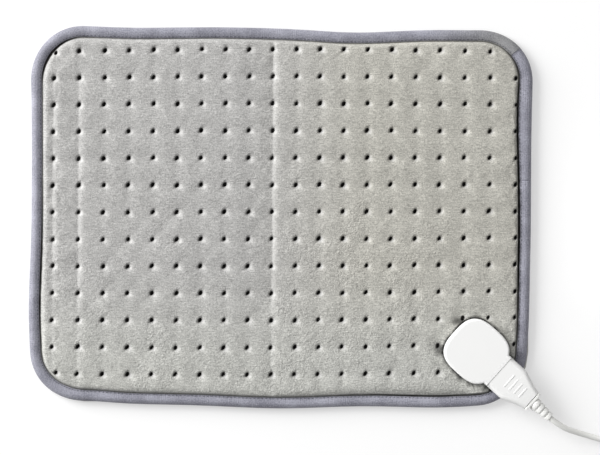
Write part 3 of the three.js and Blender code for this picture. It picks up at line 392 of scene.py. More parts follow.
def mouldedPlastic(name, base, worn, rough, grit=0.9):
    # injection-moulded plastic: even colour, faintly cloudy, fine spark-eroded grain, satin highlights
    finish, tree = newFinish(name)
    place = addNode(tree, "ShaderNodeTexCoord", out="Object")
    cloud = addNode(tree, "ShaderNodeTexNoise", {
        "Vector": place, "Scale": 1 / (14 * mm), "Detail": 3, "Roughness": 0.5})
    colour = addNode(tree, "ShaderNodeMix", {0: cloud, 6: tint(base), 7: tint(worn)}, blended, 2)
    spark = addNode(tree, "ShaderNodeTexNoise", {
        "Vector": place, "Scale": 1 / (grit * mm), "Detail": 2, "Roughness": 0.5})
    gloss = addNode(tree, "ShaderNodeMapRange", {
        "Value": cloud, "From Min": 0.3, "From Max": 0.7, "To Min": rough - 0.05, "To Max": rough + 0.06})
    bump = addNode(tree, "ShaderNodeBump", {"Height": spark, "Strength": 0.06, "Distance": 0.12 * mm})
    shader = addNode(tree, "ShaderNodeBsdfPrincipled", {
        "Base Color": colour, "Roughness": gloss, "Specular IOR Level": 0.4, "IOR": 1.5, "Normal": bump})
    addNode(tree, "ShaderNodeOutputMaterial", {"Surface": shader})
    return finish


def drawnMetal(name, base, dull, rough):
    # plated contact metal: fine drawing lines and a few dull patches from handling
    finish, tree = newFinish(name)
    place = addNode(tree, "ShaderNodeTexCoord", out="Object")
    lines = addNode(tree, "ShaderNodeMapping", {
        "Vector": place, "Scale": (1 / (0.25 * mm), 1 / (6 * mm), 1 / (0.25 * mm))})
    scratch = addNode(tree, "ShaderNodeTexNoise", {"Vector": lines, "Scale": 1, "Detail": 2})
    patch = addNode(tree, "ShaderNodeTexNoise", {"Vector": place, "Scale": 1 / (4 * mm), "Detail": 3})
    colour = addNode(tree, "ShaderNodeMix", {0: patch, 6: tint(base), 7: tint(dull)}, blended, 2)
    gloss = addNode(tree, "ShaderNodeMapRange", {
        "Value": scratch, "To Min": rough - 0.08, "To Max": rough + 0.12})
    bump = addNode(tree, "ShaderNodeBump", {"Height": scratch, "Strength": 0.08, "Distance": 0.05 * mm})
    shader = addNode(tree, "ShaderNodeBsdfPrincipled", {
        "Base Color": colour, "Metallic": 1.0, "Roughness": gloss, "Normal": bump})
    addNode(tree, "ShaderNodeOutputMaterial", {"Surface": shader})
    return finish


# the last two colours of each are the painted shade and the painted highlight
plushTop = plushFleece("brushedPlushTop", "#b4b3b1", "#b9b7af", "#bcbcb7", "#1c1b1a", "#cccbc9")
plushBack = plushFleece("brushedPlushBack", "#b4b3b0", "#b4b2aa", "#b4b3ac", "#5a5957", "#c4c3c0")
stitchThread = mouldedPlastic("twistedPolyesterThread", "#55565e", "#4a4b53", 0.7, 0.4)
loopStrap = wovenTape("hookAndLoopStrap", "#e4e4e2", "#d2d2d0", 1.0, 1.0)
whiteAbs = mouldedPlastic("mouldedWhiteAbs", "#fbfbfa", "#f8f8f7", 0.42)
cordPvc = mouldedPlastic("extrudedCordPvc", "#fbfbf8", "#f6f6f2", 0.48, 1.2)
bootPvc = mouldedPlastic("mouldedBootPvc", "#fafaf8", "#f5f5f2", 0.5)
greyKeycap = mouldedPlastic("mouldedGreyKeycap", "#d6d7da", "#cbccd0", 0.45)
signPrint = mouldedPlastic("darkSignInlay", "#55585e", "#4a4d53", 0.5)
amberDiffuser = mouldedPlastic("amberDiffuser", "#f1dcae", "#e6cc92", 0.3)
litAmber = mouldedPlastic("amberLens", "#f0a63c", "#e2902a", 0.25)
darkPolymer = mouldedPlastic("darkInsulator", "#3a3a3c", "#303032", 0.55)
boardLaminate = mouldedPlastic("glassLaminateBoard", "#2f6b44", "#285c3a", 0.5)
carrierCloth = mouldedPlastic("carrierNonwoven", "#dadad4", "#cfcfc8", 0.95, 0.8)
wireSleeve = mouldedPlastic("siliconeWireSleeve", "#d8d2c4", "#cec7b8", 0.55)
contactBrass = drawnMetal("drawnContactBrass", "#c9a65a", "#b08c46", 0.32)
screwSteel = drawnMetal("zincScrewSteel", "#b8bcc0", "#9a9ea3", 0.36)
pinNickel = drawnMetal("nickelPlatedPins", "#cfcdc6", "#b5b2aa", 0.28)
print("finishes mixed")


# Cords: the same routes as the solids, one soft curve each
cordSet = {"diameter": 4.6, "outer": 35.5, "turns": 6.5, "pitch": 5.15, "floor": 3.2, "perTurn": 40}
socketSet = {
    "centre": (155.3, -107), "turn": math.radians(-42), "half": 23.1, "squareness": 2.95,
    "low": 7.3, "top": 18.6, "wall": 2, "edge": 1.8, "axis": 12.8, "mating": 23.6,
    "neckWidth": 30, "neckHeight": 11.28, "mouthHalf": 11.9, "mouthReach": 3.5,
    "taperFrom": 38, "taperRun": 20, "taper": 6.3, "plugEnd": 60}  # the plug's outline, for the cloth
padCoil = {"centre": (312, -147.5), "start": -math.pi / 2, "way": 1}
mainsCoil = {"centre": (318, 140), "start": math.pi, "way": -1}
socketTurn = Matrix.Rotation(socketSet["turn"], 4, "Z")
socketPlace = moved((*socketSet["centre"], 0)) @ socketTurn


def fromSocket(u, v, z):
    c, s = math.cos(socketSet["turn"]), math.sin(socketSet["turn"])
    return socketSet["centre"][0] + u * c - v * s, socketSet["centre"][1] + u * s + v * c, z


def coilLine(coil):  # winds inward on the floor, climbs one cord, and winds out again on top
    line = []
    centreX, centreY = coil["centre"]
    half = cordSet["turns"] / 2
    count = round(cordSet["turns"] * cordSet["perTurn"])
    for k in range(count + 1):
        turn = cordSet["turns"] * k / count
        radius = cordSet["outer"] - cordSet["pitch"] * (half - abs(turn - half))
        climb = clamp(2 * (turn - half) + 0.5)
        z = cordSet["floor"] + cordSet["pitch"] * (1 - math.cos(climb * math.pi)) / 2
        angle = coil["start"] + coil["way"] * turn * 2 * math.pi
        line.append((centreX + radius * math.cos(angle), centreY + radius * math.sin(angle), z))
    return line


def softLine(points, parts=3):  # a soft curve through given points
    points = [Vector(p) for p in points]
    ends = [2 * points[0] - points[1]] + points + [2 * points[-1] - points[-2]]
    line = []
    for a, b, c, d in zip(ends, ends[1:], ends[2:], ends[3:]):
        for k in range(parts):
            t = k / parts
            bend = (2 * a - 5 * b + 4 * c - d) * t * t + (3 * b - a - 3 * c + d) * t ** 3
            line.append(0.5 * (2 * b + (c - a) * t + bend))
    return line + [points[-1]]


def layCord(name, line):
    curve = bpy.data.curves.new(name, "CURVE")
    curve.dimensions = "3D"
    curve.bevel_depth = cordSet["diameter"] / 2 * mm
    curve.bevel_resolution = 5
    curve.use_fill_caps = True
    spline = curve.splines.new("POLY")
    spline.points.add(len(line) - 1)
    for point, place in zip(spline.points, line):
        point.co = (*(Vector(place) * mm), 1)
    spline.use_smooth = True
    length = sum((Vector(a) - Vector(b)).length for a, b in zip(line, line[1:])) * mm
    print(name, "length", round(length, 3))
    return addObject(name, curve), length


padOut = [
    fromSocket(76, 0, 12.8), fromSocket(79, 0, 12.8), fromSocket(82.9, 0, 12.7), (226, -168.3, 10.4),
    (234.6, -171.6, 7.6), (244, -174.6, 5), (255, -177.8, 3.5), (268, -180.8, 3.2), (281, -182.4, 3.2),
    (294, -183, 3.2), (301, -183, 3.2), (306.6, -183, 3.2)]
padBack = [
    (307.4, -112, 8.35), (302.6, -111.6, 8.6), (296.2, -109.6, 8.9), (290.6, -105.4, 9.3),
    (287.2, -99.6, 9.7), (286, -94.4, 10), (286, -90.6, 10), (286, -88, 10)]
mainsOut = [
    (286, 66, 10), (286, 68.6, 10), (286, 74, 9.8), (285.8, 84, 7.6), (285.2, 95, 5), (284.4, 106, 3.5),
    (283.4, 117, 3.2), (282.6, 127, 3.2), (282.5, 131, 3.2), (282.5, 134.6, 3.2)]
mainsBack = [
    (353.5, 135.4, 8.35), (353.4, 129, 8.3), (351.6, 120, 8.1), (346.6, 111.4, 7.6), (340.2, 104.4, 7),
    (336.6, 98.6, 6.8), (336, 92.6, 6.8), (336, 90, 6.8)]
padLine = softLine(padOut) + coilLine(padCoil) + softLine(padBack)
mainsLine = softLine(mainsOut) + coilLine(mainsCoil) + softLine(mainsBack)
padCord, padCordLength = layCord("padLeadCord", padLine)
mainsCord, mainsCordLength = layCord("mainsLeadCord", mainsLine)
dress(padCord, "padLeadCord", "lead",
      ("pad_lead", "pad_lead_coil", "pad_lead_tail"), finish=cordPvc)
dress(mainsCord, "mainsLeadCord", "lead",
      ("mains_lead", "mains_lead_coil", "mains_lead_tail"), finish=cordPvc)
print("cords laid")


# Outline of the pad, a little uneven as sewn, measured along its edge from the middle of the right side
padSet = {"halfLength": 200, "halfWidth": 150, "corner": 42, "seam": 8.8}
flatX = padSet["halfLength"] - padSet["corner"]
flatY = padSet["halfWidth"] - padSet["corner"]
quarter = padSet["corner"] * math.pi / 2
topFrom = flatY + quarter
leftFrom = topFrom + 2 * flatX + quarter
bottomFrom = leftFrom + 2 * flatY + quarter
rimLength = bottomFrom + 2 * flatX + quarter + flatY
sides = {  # mark where each straight run starts, its first point, its direction and half its length
    "right": (-flatY, (padSet["halfLength"], -flatY), (0, 1), flatY),
    "top": (topFrom, (flatX, padSet["halfWidth"]), (-1, 0), flatX),
    "left": (leftFrom, (-padSet["halfLength"], flatY), (0, -1), flatY),
    "bottom": (bottomFrom, (-flatX, -padSet["halfWidth"]), (1, 0), flatX)}

# where the sewn edge strays outward, its seam strays inward, and the seam's valley opens, with more painted
# shade:
# side, place along it, reach and amount in mm
edgeStrays = [
    ("right", 125, 45, 1.4), ("top", 60, 40, -2.3), ("top", -60, 75, 2.1), ("top", -172, 42, 3),
    ("left", -75, 48, 2.5), ("bottom", -162, 32, -2.8), ("bottom", 0, 60, 3.3), ("bottom", 122, 48, 2.6),
    ("right", -125, 34, -3.4), ("right", -70, 50, -1.2), ("top", 165, 25, -0.8)]
seamStrays = [("right", 88, 52, 2.2), ("left", 0, 100, -0.6), ("bottom", -185, 25, 0.8)]
seamGaps = [
    ("left", 135, 30, 1.3), ("left", -50, 75, 0.9), ("right", -5, 85, 1.1), ("right", 90, 45, 0.5),
    ("bottom", 110, 60, 0.7)]


def sideRun(value, flat):  # distance from the middle of a side, past its straight part along the arc
    past = clamp((abs(value) - flat) / padSet["corner"])
    return math.copysign(min(abs(value), flat) + padSet["corner"] * math.asin(past), value)


def rimMark(side, value):
    start, first, way, half = sides[side]
    return start + half + sum(way) * sideRun(value, half)


def rimGap(a, b):  # the shorter way round from one mark to another
    return (b - a + rimLength / 2) % rimLength - rimLength / 2


def strayAt(strays, mark):
    total = 0
    for side, place, reach, amount in strays:
        total += amount * math.exp(-(rimGap(rimMark(side, place), mark) / reach) ** 2)
    return total


def rimPoint(mark, inset):
    mark %= rimLength
    if mark > rimLength - flatY:
        mark -= rimLength
    for start, first, way, half in sides.values():
        along, run = mark - start, 2 * half
        if along <= run + quarter:
            break
    normal = Vector((way[1], -way[0]))
    if along <= run:
        base = Vector(first) + Vector(way) * along
    else:
        angle = (along - run) / padSet["corner"]
        centre = Vector(first) + Vector(way) * run - normal * padSet["corner"]
        normal = normal * math.cos(angle) + Vector(way) * math.sin(angle)
        base = centre + normal * padSet["corner"]
    return base + normal * (strayAt(edgeStrays, mark) - inset)


def rimNearest(x, y):  # nearest place on the edge, and how far inside it the point lies
    qx, qy = abs(x) - flatX, abs(y) - flatY
    if qx > 0 and qy > 0:
        angle = math.atan2(qy, qx) if x > 0 else math.atan2(qx, qy)
        depth = padSet["corner"] - math.hypot(qx, qy)
        if x > 0 and y > 0:
            mark = flatY + padSet["corner"] * angle
        elif x < 0 < y:
            mark = leftFrom - quarter + padSet["corner"] * angle
        elif x < 0:
            mark = bottomFrom - quarter + padSet["corner"] * (math.pi / 2 - angle)
        else:
            mark = -flatY - padSet["corner"] * angle
    else:
        depthX, depthY = padSet["halfLength"] - abs(x), padSet["halfWidth"] - abs(y)
        depth = min(depthX, depthY)
        if depthX < depthY:
            mark = rimMark("right" if x > 0 else "left", y)
        else:
            mark = rimMark("top" if y > 0 else "bottom", x)
    return mark, depth + strayAt(edgeStrays, mark)


# Quilted top panel: cloth blown up between its tufts, then given its deep tuft holes
quilt = {
    "columns": 20, "rows": 13, "middle": (1.4, 4.6), "pitch": (18.9, 21.6), "widen": 5.5, "shrink": 0.997,
    "corners": {  # where the four corner tufts sit
        (0, 0): (-180.2, 131.2), (0, 12): (-180.4, -124.4), (19, 0): (181.5, 127), (19, 12): (180, -117)},
    "loose": 0.3, "lastShift": 0.7, "floor": 4.2, "crown": 9.4, "puff": 0.7, "cell": 6,
    "parts": 6, "creasedParts": 15, "rings": (0.6, 1.1, 1.5, 1.85, 2.2, 2.7, 3.4, 4.4), "outerRings": 3,
    "strip": 3.5, "stripClear": 6.5, "stripSteps": (0.88, 0.73, 0.56, 0.34, 0)}
random.seed(11)
lastColumn, lastRow = quilt["columns"] - 1, quilt["rows"] - 1
columnX = []
for i in range(quilt["columns"]):
    u = 2 * i / lastColumn - 1  # columns stand a little wider apart towards the sides
    columnX.append(quilt["middle"][0] + quilt["pitch"][0] * lastColumn / 2 * u + quilt["widen"] * u ** 3)
columnX[lastColumn] += quilt["lastShift"]  # the last one nearly meets the seam
rowY = [quilt["middle"][1] + quilt["pitch"][1] * (lastRow / 2 - j) for j in range(quilt["rows"])]
tufts = {}
for i, x in enumerate(columnX):
    for j, y in enumerate(rowY):
        u, v = 2 * i / lastColumn - 1, 2 * j / lastRow - 1  # the rows and columns are drawn a little askew
        shift = Vector((0.4 - v, 0.5 * u - 0.4 - 0.65 * v + 0.6 * u * v + 1.8 * u * u * v))
        loose = Vector([random.uniform(-quilt["loose"], quilt["loose"]) for axis in "xy"])
        place = (Vector((x, y)) + shift + loose) * quilt["shrink"]
        tufts[i, j] = Vector(quilt["corners"].get((i, j), place))
tuftMood = {}  # size, pull and lean of each
for key in tufts:
    tuftMood[key] = (random.uniform(0.92, 1.1), random.uniform(0.75, 1.25), random.uniform(0.1, 0.4))
tuftMood[lastColumn - 1, 0] = (0.94, 1, 0.2)  # its cell is narrow
# two tufts are dragged down beside the socket: middle and reach of the painted shade beside each
dragged = {(16, 11): (1, -2.4, 6, 8), (17, 10): (-4.3, -2.2, 8, 4.5)}
for key in dragged:
    tuftMood[key] = (1.25, 0.8, 0.1)


def socketReach(x, y):  # distance from a point to the outline of the socket and plug
    s = socketSet
    dx, dy = x - s["centre"][0], y - s["centre"][1]
    cosine, sine = math.cos(s["turn"]), math.sin(s["turn"])
    u, v = dx * cosine + dy * sine, -dx * sine + dy * cosine
    ring = abs(u / s["half"]) ** s["squareness"] + abs(v / s["half"]) ** s["squareness"]
    cover = (ring ** (1 / s["squareness"]) - 1) * s["half"]
    halfWidth = s["neckWidth"] / 2
    if u >= s["taperFrom"]:
        halfWidth -= s["taper"] * min((u - s["taperFrom"]) / s["taperRun"], 1)
    plug = math.hypot(max(abs(v) - halfWidth, 0), max(-u, u - s["plugEnd"], 0))
    if abs(v) < halfWidth and 0 < u < s["plugEnd"]:
        plug = -1
    return min(cover, plug)


clothSet = {
    "quality": 5, "mass": 0.15, "tension_stiffness": 12, "compression_stiffness": 8, "shear_stiffness": 4,
    "bending_stiffness": 0.4, "use_pressure": True, "uniform_pressure_force": 4, "shrink_min": -0.03}
clothSteps = 20
clothCap = {"share": 0.9, "least": 0.05, "sink": -0.5, "rise": 1.2}  # holds how far the cloth may move


def blowCloth():
    # some squares of cloth per step between tufts, held at the tufts and along the seam
    cell = quilt["cell"]
    seamX, seamY = padSet["halfLength"] - padSet["seam"], padSet["halfWidth"] - padSet["seam"]
    xs = [-seamX] + columnX + [seamX]
    ys = [seamY] + rowY + [-seamY]
    fineX = [a + (b - a) * k / cell for a, b in zip(xs, xs[1:]) for k in range(cell)] + [xs[-1]]
    fineY = [a + (b - a) * k / cell for a, b in zip(ys, ys[1:]) for k in range(cell)] + [ys[-1]]
    wide, deep = len(fineX), len(fineY)
    low = quilt["crown"] - quilt["puff"]
    verts = [(x * mm, y * mm, low * mm) for y in fineY for x in fineX]
    faces = [(j * wide + i, (j + 1) * wide + i, (j + 1) * wide + i + 1, j * wide + i + 1)
             for j in range(deep - 1) for i in range(wide - 1)]
    mesh = bpy.data.meshes.new("quiltCloth")
    mesh.from_pydata(verts, [], faces)
    cloth = addObject("quiltCloth", mesh)
    pins = cloth.vertex_groups.new(name="pins")
    held = [j * wide + i for j in range(deep) for i in range(wide)
            if i in (0, wide - 1) or j in (0, deep - 1) or (i % cell == 0 and j % cell == 0)]
    pins.add(held, 1.0, "REPLACE")
    sim = cloth.modifiers.new("cloth", "CLOTH")
    for name, value in clothSet.items():
        setattr(sim.settings, name, value)
    sim.settings.vertex_group_mass = "pins"
    sim.settings.effector_weights.gravity = 0
    sim.collision_settings.use_collision = False
    sim.point_cache.frame_start = 1
    sim.point_cache.frame_end = clothSteps
    for step in range(1, clothSteps + 1):
        scene.frame_set(step)
    shaped = cloth.evaluated_get(bpy.context.evaluated_depsgraph_get()).to_mesh()
    lifts = [v.co.z / mm - low for v in shaped.vertices]
    cloth.evaluated_get(bpy.context.evaluated_depsgraph_get()).to_mesh_clear()
    scene.frame_set(1)
    bpy.data.objects.remove(cloth)
    tall = sorted(lifts)[int(clothCap["share"] * len(lifts))]
    scale = quilt["puff"] / max(tall, clothCap["least"])
    print("cloth lift before the cap", round(tall, 2), "mm")
    most = clothCap["rise"] * quilt["puff"]
    capped = [low + clamp(lift * scale, clothCap["sink"], most) for lift in lifts]
    return [capped[j * wide:(j + 1) * wide] for j in range(deep)]


clothHeights = blowCloth()
print("cloth blown")


def clothAt(i, j):  # i and j count tufts, from -1 at the seam
    cell = quilt["cell"]
    a = clamp((i + 1) * cell, 0, len(clothHeights[0]) - 1.001)
    b = clamp((j + 1) * cell, 0, len(clothHeights) - 1.001)
    ia, jb = int(a), int(b)
    fa, fb = a - ia, b - jb
    top = clothHeights[jb][ia] * (1 - fa) + clothHeights[jb][ia + 1] * fa
    low = clothHeights[jb + 1][ia] * (1 - fa) + clothHeights[jb + 1][ia + 1] * fa
    return top * (1 - fb) + low * fb


creaseSet = {
    "lines": ((0, 1.15, 118), (1, 1.3, 118), (9, 1.4, 160)),  # column, depth, and how far up it reaches
    "beside": 0.8, "slant": 130, "waver": 0.5, "waverRun": 40, "fall": 26, "rise": 4.2, "curl": 1.5,
    "fade": 14, "faint": 0.45, "faintFrom": -95, "faintRun": 70, "uneven": 0.8, "unevenRun": 18, "paintedLight": 0.6}
creased = [column for column, deepest, top in creaseSet["lines"]]


def creaseAt(x, y):  # depth of the long folds, and the painted highlight on their rising side
    c = creaseSet
    depth, paintedLight = 0, 0
    for column, deepest, top in c["lines"]:
        waver = c["waver"] * noise.noise((y / c["waverRun"], column, 1))
        beyond = x - columnX[column] - c["beside"] - y / c["slant"] - waver
        if beyond > 0:
            fold = max(0, 1 - beyond / c["rise"]) ** c["curl"]  # a quick rise
        else:
            fold = max(0, 1 + beyond / c["fall"])  # after a slow fall
        fold *= smooth((top - y) / c["fade"])
        fold *= c["faint"] + (1 - c["faint"]) * smooth((y - c["faintFrom"]) / c["faintRun"])
        fold *= c["uneven"] * (1 + noise.noise((y / c["unevenRun"], column, 6)))
        depth += deepest * fold
        # painted highlight on the rising side of each fold, which faces the light
        if beyond > 0:
            paintedLight = max(paintedLight, c["paintedLight"] * fold)
    return depth, paintedLight


holeSet = {
    "radius": 1.55, "floor": 4.9, "right": 1.12, "left": 1.25, "upward": 0.95, "lip": 1.2, "wall": 0.5,
    "coreShift": 0.25, "coreWidth": 1.15, "coreHeight": 0.9, "coreLip": 1.27, "coreWall": 0.38,
    "hollow": 2.9, "reach": 5.0, "easing": 1.1, "pull": (0.86, 0.5), "drawn": (2.4, 1.4),
    "dragged": (0.7, 0.8), "calm": 0.45, "calmFrom": 15, "calmRun": 70, "paintedHighlight": 1.7, "highlightRun": 1.2}


def tuftHole(x, y, z, key):  # height, painted shade in the hole, and painted highlight on its lit side where a tuft draws the cloth down
    h = holeSet
    size, pull, lean = tuftMood[key]
    right, up = x - tufts[key].x, y - tufts[key].y
    along = h["pull"][0] * right - h["pull"][1] * up  # the pull is drawn to the lower right
    aside = h["pull"][1] * right + h["pull"][0] * up
    slack, narrow = h["dragged" if key in dragged else "drawn"]
    dip = math.hypot(along * (1 if along > 0 else slack), aside * narrow) / size / h["reach"]
    z = max(z - h["hollow"] * pull * max(0, 1 - dip) ** h["easing"], h["floor"])
    pull *= 1 - h["calm"] * smooth((x - h["calmFrom"]) / h["calmRun"])  # the painted highlight is weaker on the right half
    paintedLight = pull * smooth(h["paintedHighlight"] * (1 - dip)) * smooth(along / h["highlightRun"])  # painted highlight on the drawn side, which faces the light
    side = right - lean * up  # holes lean over
    across = math.hypot(side * h["right" if side > 0 else "left"], up * h["upward"]) / size / h["radius"]
    z += (h["floor"] - z) * smooth((h["lip"] - across) / h["wall"])
    core = math.hypot((side + h["coreShift"]) * h["coreWidth"], up * h["coreHeight"]) / size / h["radius"]
    return z, smooth((h["coreLip"] - core) / h["coreWall"]), paintedLight  # painted shade in the hole's core, shifted so its far wall is not painted dark


pressSet = {
    "height": 6.9, "reach": 13, "spread": 1.08, "easing": 1.6, "tuck": 1.2, "tuckReach": 2.4,
    "dark": 0.95, "darkFrom": 1.9, "darkRun": 1.1, "dragShade": 0.8, "dragShadeRun": 0.75}


def pressedCloth(x, y, z):  # height, and painted shade in the gap round the socket and beside the dragged tufts
    p = pressSet
    shade = 0
    for spot, (right, up, wide, high) in dragged.items():  # painted shade in the valleys beside the dragged tufts
        dragShade = math.hypot((x - tufts[spot].x - right) / wide, (y - tufts[spot].y - up) / high)
        shade = max(shade, p["dragShade"] * smooth((1 - dragShade) / p["dragShadeRun"]))
    beside = socketReach(x, y)
    press = smooth(p["spread"] - beside / p["reach"])
    z += (min(p["height"], z) - z) * press ** p["easing"]
    z -= p["tuck"] * smooth(1 - beside / p["tuckReach"])  # it tucks in under the socket's rim
    # painted shade in the gap round the socket's rim
    return z, max(shade, p["dark"] * smooth((p["darkFrom"] - beside) / p["darkRun"]))


edgeSet = {
    "inset": 7.4, "height": 4.9, "above": 0.6, "soft": 1.2, "gap": 0.25, "groove": 1.75, "widen": 0.95,
    "waver": 0.25, "waverRun": 12, "dark": 0.45, "darkGap": 0.5, "darkRun": 0.5, "roll": 7, "round": 2.8,
    "left": (-0.9, -165, -30), "right": (3.2, 150, 25), "bottom": (2, -100, -20)}  # change, start and run


def edgeRoll(x, y):  # height of the panel's rolled edge, and painted shade in the sewn valley beside the tape
    e = edgeSet
    mark, depth = rimNearest(x, y)
    depth -= e["inset"] + strayAt(seamStrays, mark)
    gap = e["gap"] + strayAt(seamGaps, mark)
    groove = e["groove"] + e["widen"] * gap + e["waver"] * noise.noise((mark / e["waverRun"], 4, 4))
    rise = clamp((depth - groove) / e["roll"])
    roundness = e["round"]  # the left edge rolls over gently, the right and bottom ones turn down sharply
    for at, (change, start, run) in ((x, e["left"]), (x, e["right"]), (y, e["bottom"])):
        roundness += change * smooth((at - start) / run)
    top = quilt["crown"] + e["above"]
    z = e["height"] + (top - e["height"]) * (1 - (1 - rise) ** roundness)
    return z, (e["dark"] + e["darkGap"] * gap) * smooth((groove - depth) / e["darkRun"] + 1)


napSet = {"swell": 0.2, "swellRun": 15, "least": 0.06, "more": 0.2, "patchRun": 55, "wide": 4.6, "high": 3.2}


def napHeight(x, y):  # a slow swell, and a nap that is ruffled in patches
    n = napSet
    swell = n["swell"] * noise.noise((x / n["swellRun"], y / n["swellRun"], 3))
    patch = smooth(0.4 + 1.6 * noise.noise((x / n["patchRun"], y / n["patchRun"], 9)))
    return swell + (n["least"] + n["more"] * patch) * noise.noise((x / n["wide"], y / n["high"], 8))


def quiltHeight(x, y, i, j, key, holed):
    depth, paintedLight = creaseAt(x, y)
    z = clothAt(i, j) + napHeight(x, y) - depth
    shade = 0
    if holed:
        z, shade, paintedHighlight = tuftHole(x, y, z, key)
        paintedLight = max(paintedLight, paintedHighlight)
    z, pressed = pressedCloth(x, y, z)
    edge, valley = edgeRoll(x, y)
    shade = max(shade, pressed, valley)
    blend = clamp((z - edge) / edgeSet["soft"] + 0.5)  # the soft lesser of the two
    z += (edge - z) * blend - edgeSet["soft"] / 2 * blend * (1 - blend)
    return z, shade - (1 - shade) * paintedLight  # painted shade above zero; below zero, painted highlight on the lit sides of holes and folds


def cellNode(a, b):  # a corner between four tufts, or a place on the seam
    near = [(i, j) for i in (math.floor(a), math.ceil(a)) for j in (math.floor(b), math.ceil(b))]
    near = [(clamp(i, 0, lastColumn), clamp(j, 0, lastRow)) for i, j in near]
    middle = sum((tufts[n] for n in near), Vector((0, 0))) / 4
    if a < 0:
        return rimMark("left", middle.y)
    if a > lastColumn:
        return rimMark("right", middle.y)
    if b < 0:
        return rimMark("top", middle.x)
    if b > lastRow:
        return rimMark("bottom", middle.x)
    return middle


def seamPoint(mark, inside):
    return rimPoint(mark, edgeSet["inset"] + strayAt(seamStrays, mark) + inside)


def stripAt(mark):  # the strip narrows where a tuft comes near the seam
    spot = seamPoint(mark, 0)
    near = min((spot - tuft).length for tuft in tufts.values())
    return quilt["strip"] * min(1, near / quilt["stripClear"])


def cellBorder(i, j, parts):  # points round one tuft's cell, each with its place in tuft counts
    seamX, seamY = (-1, lastColumn + 1), (-1, lastRow + 1)
    left = i - 0.5 if i > 0 else -1
    right = i + 0.5 if i < lastColumn else lastColumn + 1
    top = j - 0.5 if j > 0 else -1
    bottom = j + 0.5 if j < lastRow else lastRow + 1
    corners = [(left, top), (right, top), (right, bottom), (left, bottom)]
    nodes = [cellNode(*corner) for corner in corners]
    for k, corner in enumerate(corners):
        if corner[0] in seamX and corner[1] in seamY:  # a corner of the pad, halfway between the two
            before, after = nodes[k - 1], nodes[(k + 1) % 4]
            nodes[k] = before + rimGap(before, after) / 2
    border = []
    for k in range(4):
        a, b = corners[k], corners[(k + 1) % 4]
        ends = nodes[k], nodes[(k + 1) % 4]
        seamRun = (a[0] == b[0] and a[0] in seamX) or (a[1] == b[1] and a[1] in seamY)
        steps = quilt["creasedParts"] if i in creased and k in (0, 2) else parts
        for step in range(steps):
            t = step / steps
            index = (a[0] + (b[0] - a[0]) * t, a[1] + (b[1] - a[1]) * t)
            mark = None
            if seamRun:
                mark = ends[0] + rimGap(*ends) * t
            elif step == 0 and not isinstance(ends[0], Vector):
                mark = ends[0]
            if mark is None:
                spots = [e if isinstance(e, Vector) else seamPoint(e, stripAt(e)) for e in ends]
                border.append((spots[0].lerp(spots[1], t), index, None, 0))
            else:
                strip = stripAt(mark)
                border.append((seamPoint(mark, strip), index, mark, strip))
    return border


def sewRings(shape, inner, outer):  # faces between two rings of a cell, or from its middle to the first
    for n in range(len(outer)):
        m = (n + 1) % len(outer)
        if not outer[n] or not outer[m]:
            continue
        if isinstance(inner, list):
            shape.faces.new((inner[n], outer[n], outer[m], inner[m]))
        else:
            shape.faces.new((inner, outer[n], outer[m]))


def tuftedSheet(name, height, parts, rings, outerRings, floor):
    shape = bmesh.new()
    # the tuft attribute of each point: painted shade, or painted highlight below zero
    shade = shape.verts.layers.float.new("tuft")
    for (i, j), tuft in tufts.items():
        holed = socketReach(*tuft) > -1 and (i, j) != (lastColumn, 0)
        border = cellBorder(i, j, parts)

        def spot(place, index):
            z, dark = height(place.x, place.y, index[0], index[1], (i, j), holed)
            vert = shape.verts.new((place.x * mm, place.y * mm, z * mm))
            vert[shade] = dark
            return vert

        before = spot(tuft, (i, j))
        for k in range(len(rings) + outerRings):
            step = k - len(rings) + 1
            ring = []
            for place, index, mark, strip in border:
                reach = (place - tuft).length
                inner = min(rings[-1], 0.6 * reach)
                if step < 1:
                    radius = rings[k] * inner / rings[-1]
                else:
                    radius = inner + (reach - inner) * step / outerRings
                t = radius / reach
                ring.append(spot(tuft.lerp(place, t), (i + (index[0] - i) * t, j + (index[1] - j) * t)))
            sewRings(shape, before, ring)
            before = ring
        for share in quilt["stripSteps"]:  # a narrow strip beside the seam follows its valley closely
            ring = []
            for place, index, mark, strip in border:
                ring.append(None if mark is None else spot(seamPoint(mark, strip * share), index))
            sewRings(shape, before, ring)
            before = ring
    bmesh.ops.remove_doubles(shape, verts=shape.verts[:], dist=0.01 * mm)
    openEdges = [e for e in shape.edges if e.is_boundary]
    skirt = bmesh.ops.extrude_edge_only(shape, edges=openEdges)["geom"]
    for vert in (v for v in skirt if isinstance(v, bmesh.types.BMVert)):
        vert.co.z = floor * mm
    rim = [e for e in skirt if isinstance(e, bmesh.types.BMEdge) and e.is_boundary]
    bmesh.ops.contextual_create(shape, geom=rim)
    return pieceFrom(shape, name)


quiltPiece = tuftedSheet(
    "quiltedTopPanel", quiltHeight, quilt["parts"], quilt["rings"], quilt["outerRings"], quilt["floor"])
dress(quiltPiece, "quiltedTopPanel", "pad", ("quilted_top_panel", "wadding_sheet"), 60, plushTop)

# Bottom panel: lies flat, drawn up a little at each tuft
backSet = {
    "low": 0.15, "draw": 0.9, "reach": 4.6, "dark": 0.6, "darkFrom": 1.2, "darkRun": 1.6, "top": 1.75,
    "parts": 4, "rings": (0.8, 1.6, 2.6, 4), "outerRings": 2}


def backHeight(x, y, i, j, key, holed):
    b = backSet
    away = math.hypot(x - tufts[key].x, y - tufts[key].y)
    dimple = max(0, 1 - (away / b["reach"]) ** 2) ** 3
    # painted shade round each tuft's dimple
    return b["low"] + b["draw"] * dimple, b["dark"] * smooth(b["darkFrom"] - away / b["darkRun"])


backPiece = tuftedSheet(
    "bottomPanel", backHeight, backSet["parts"], backSet["rings"], backSet["outerRings"], backSet["top"])
dress(backPiece, "bottomPanel", "pad", ("bottom_panel",), 60, plushBack)
print("panels quilted")


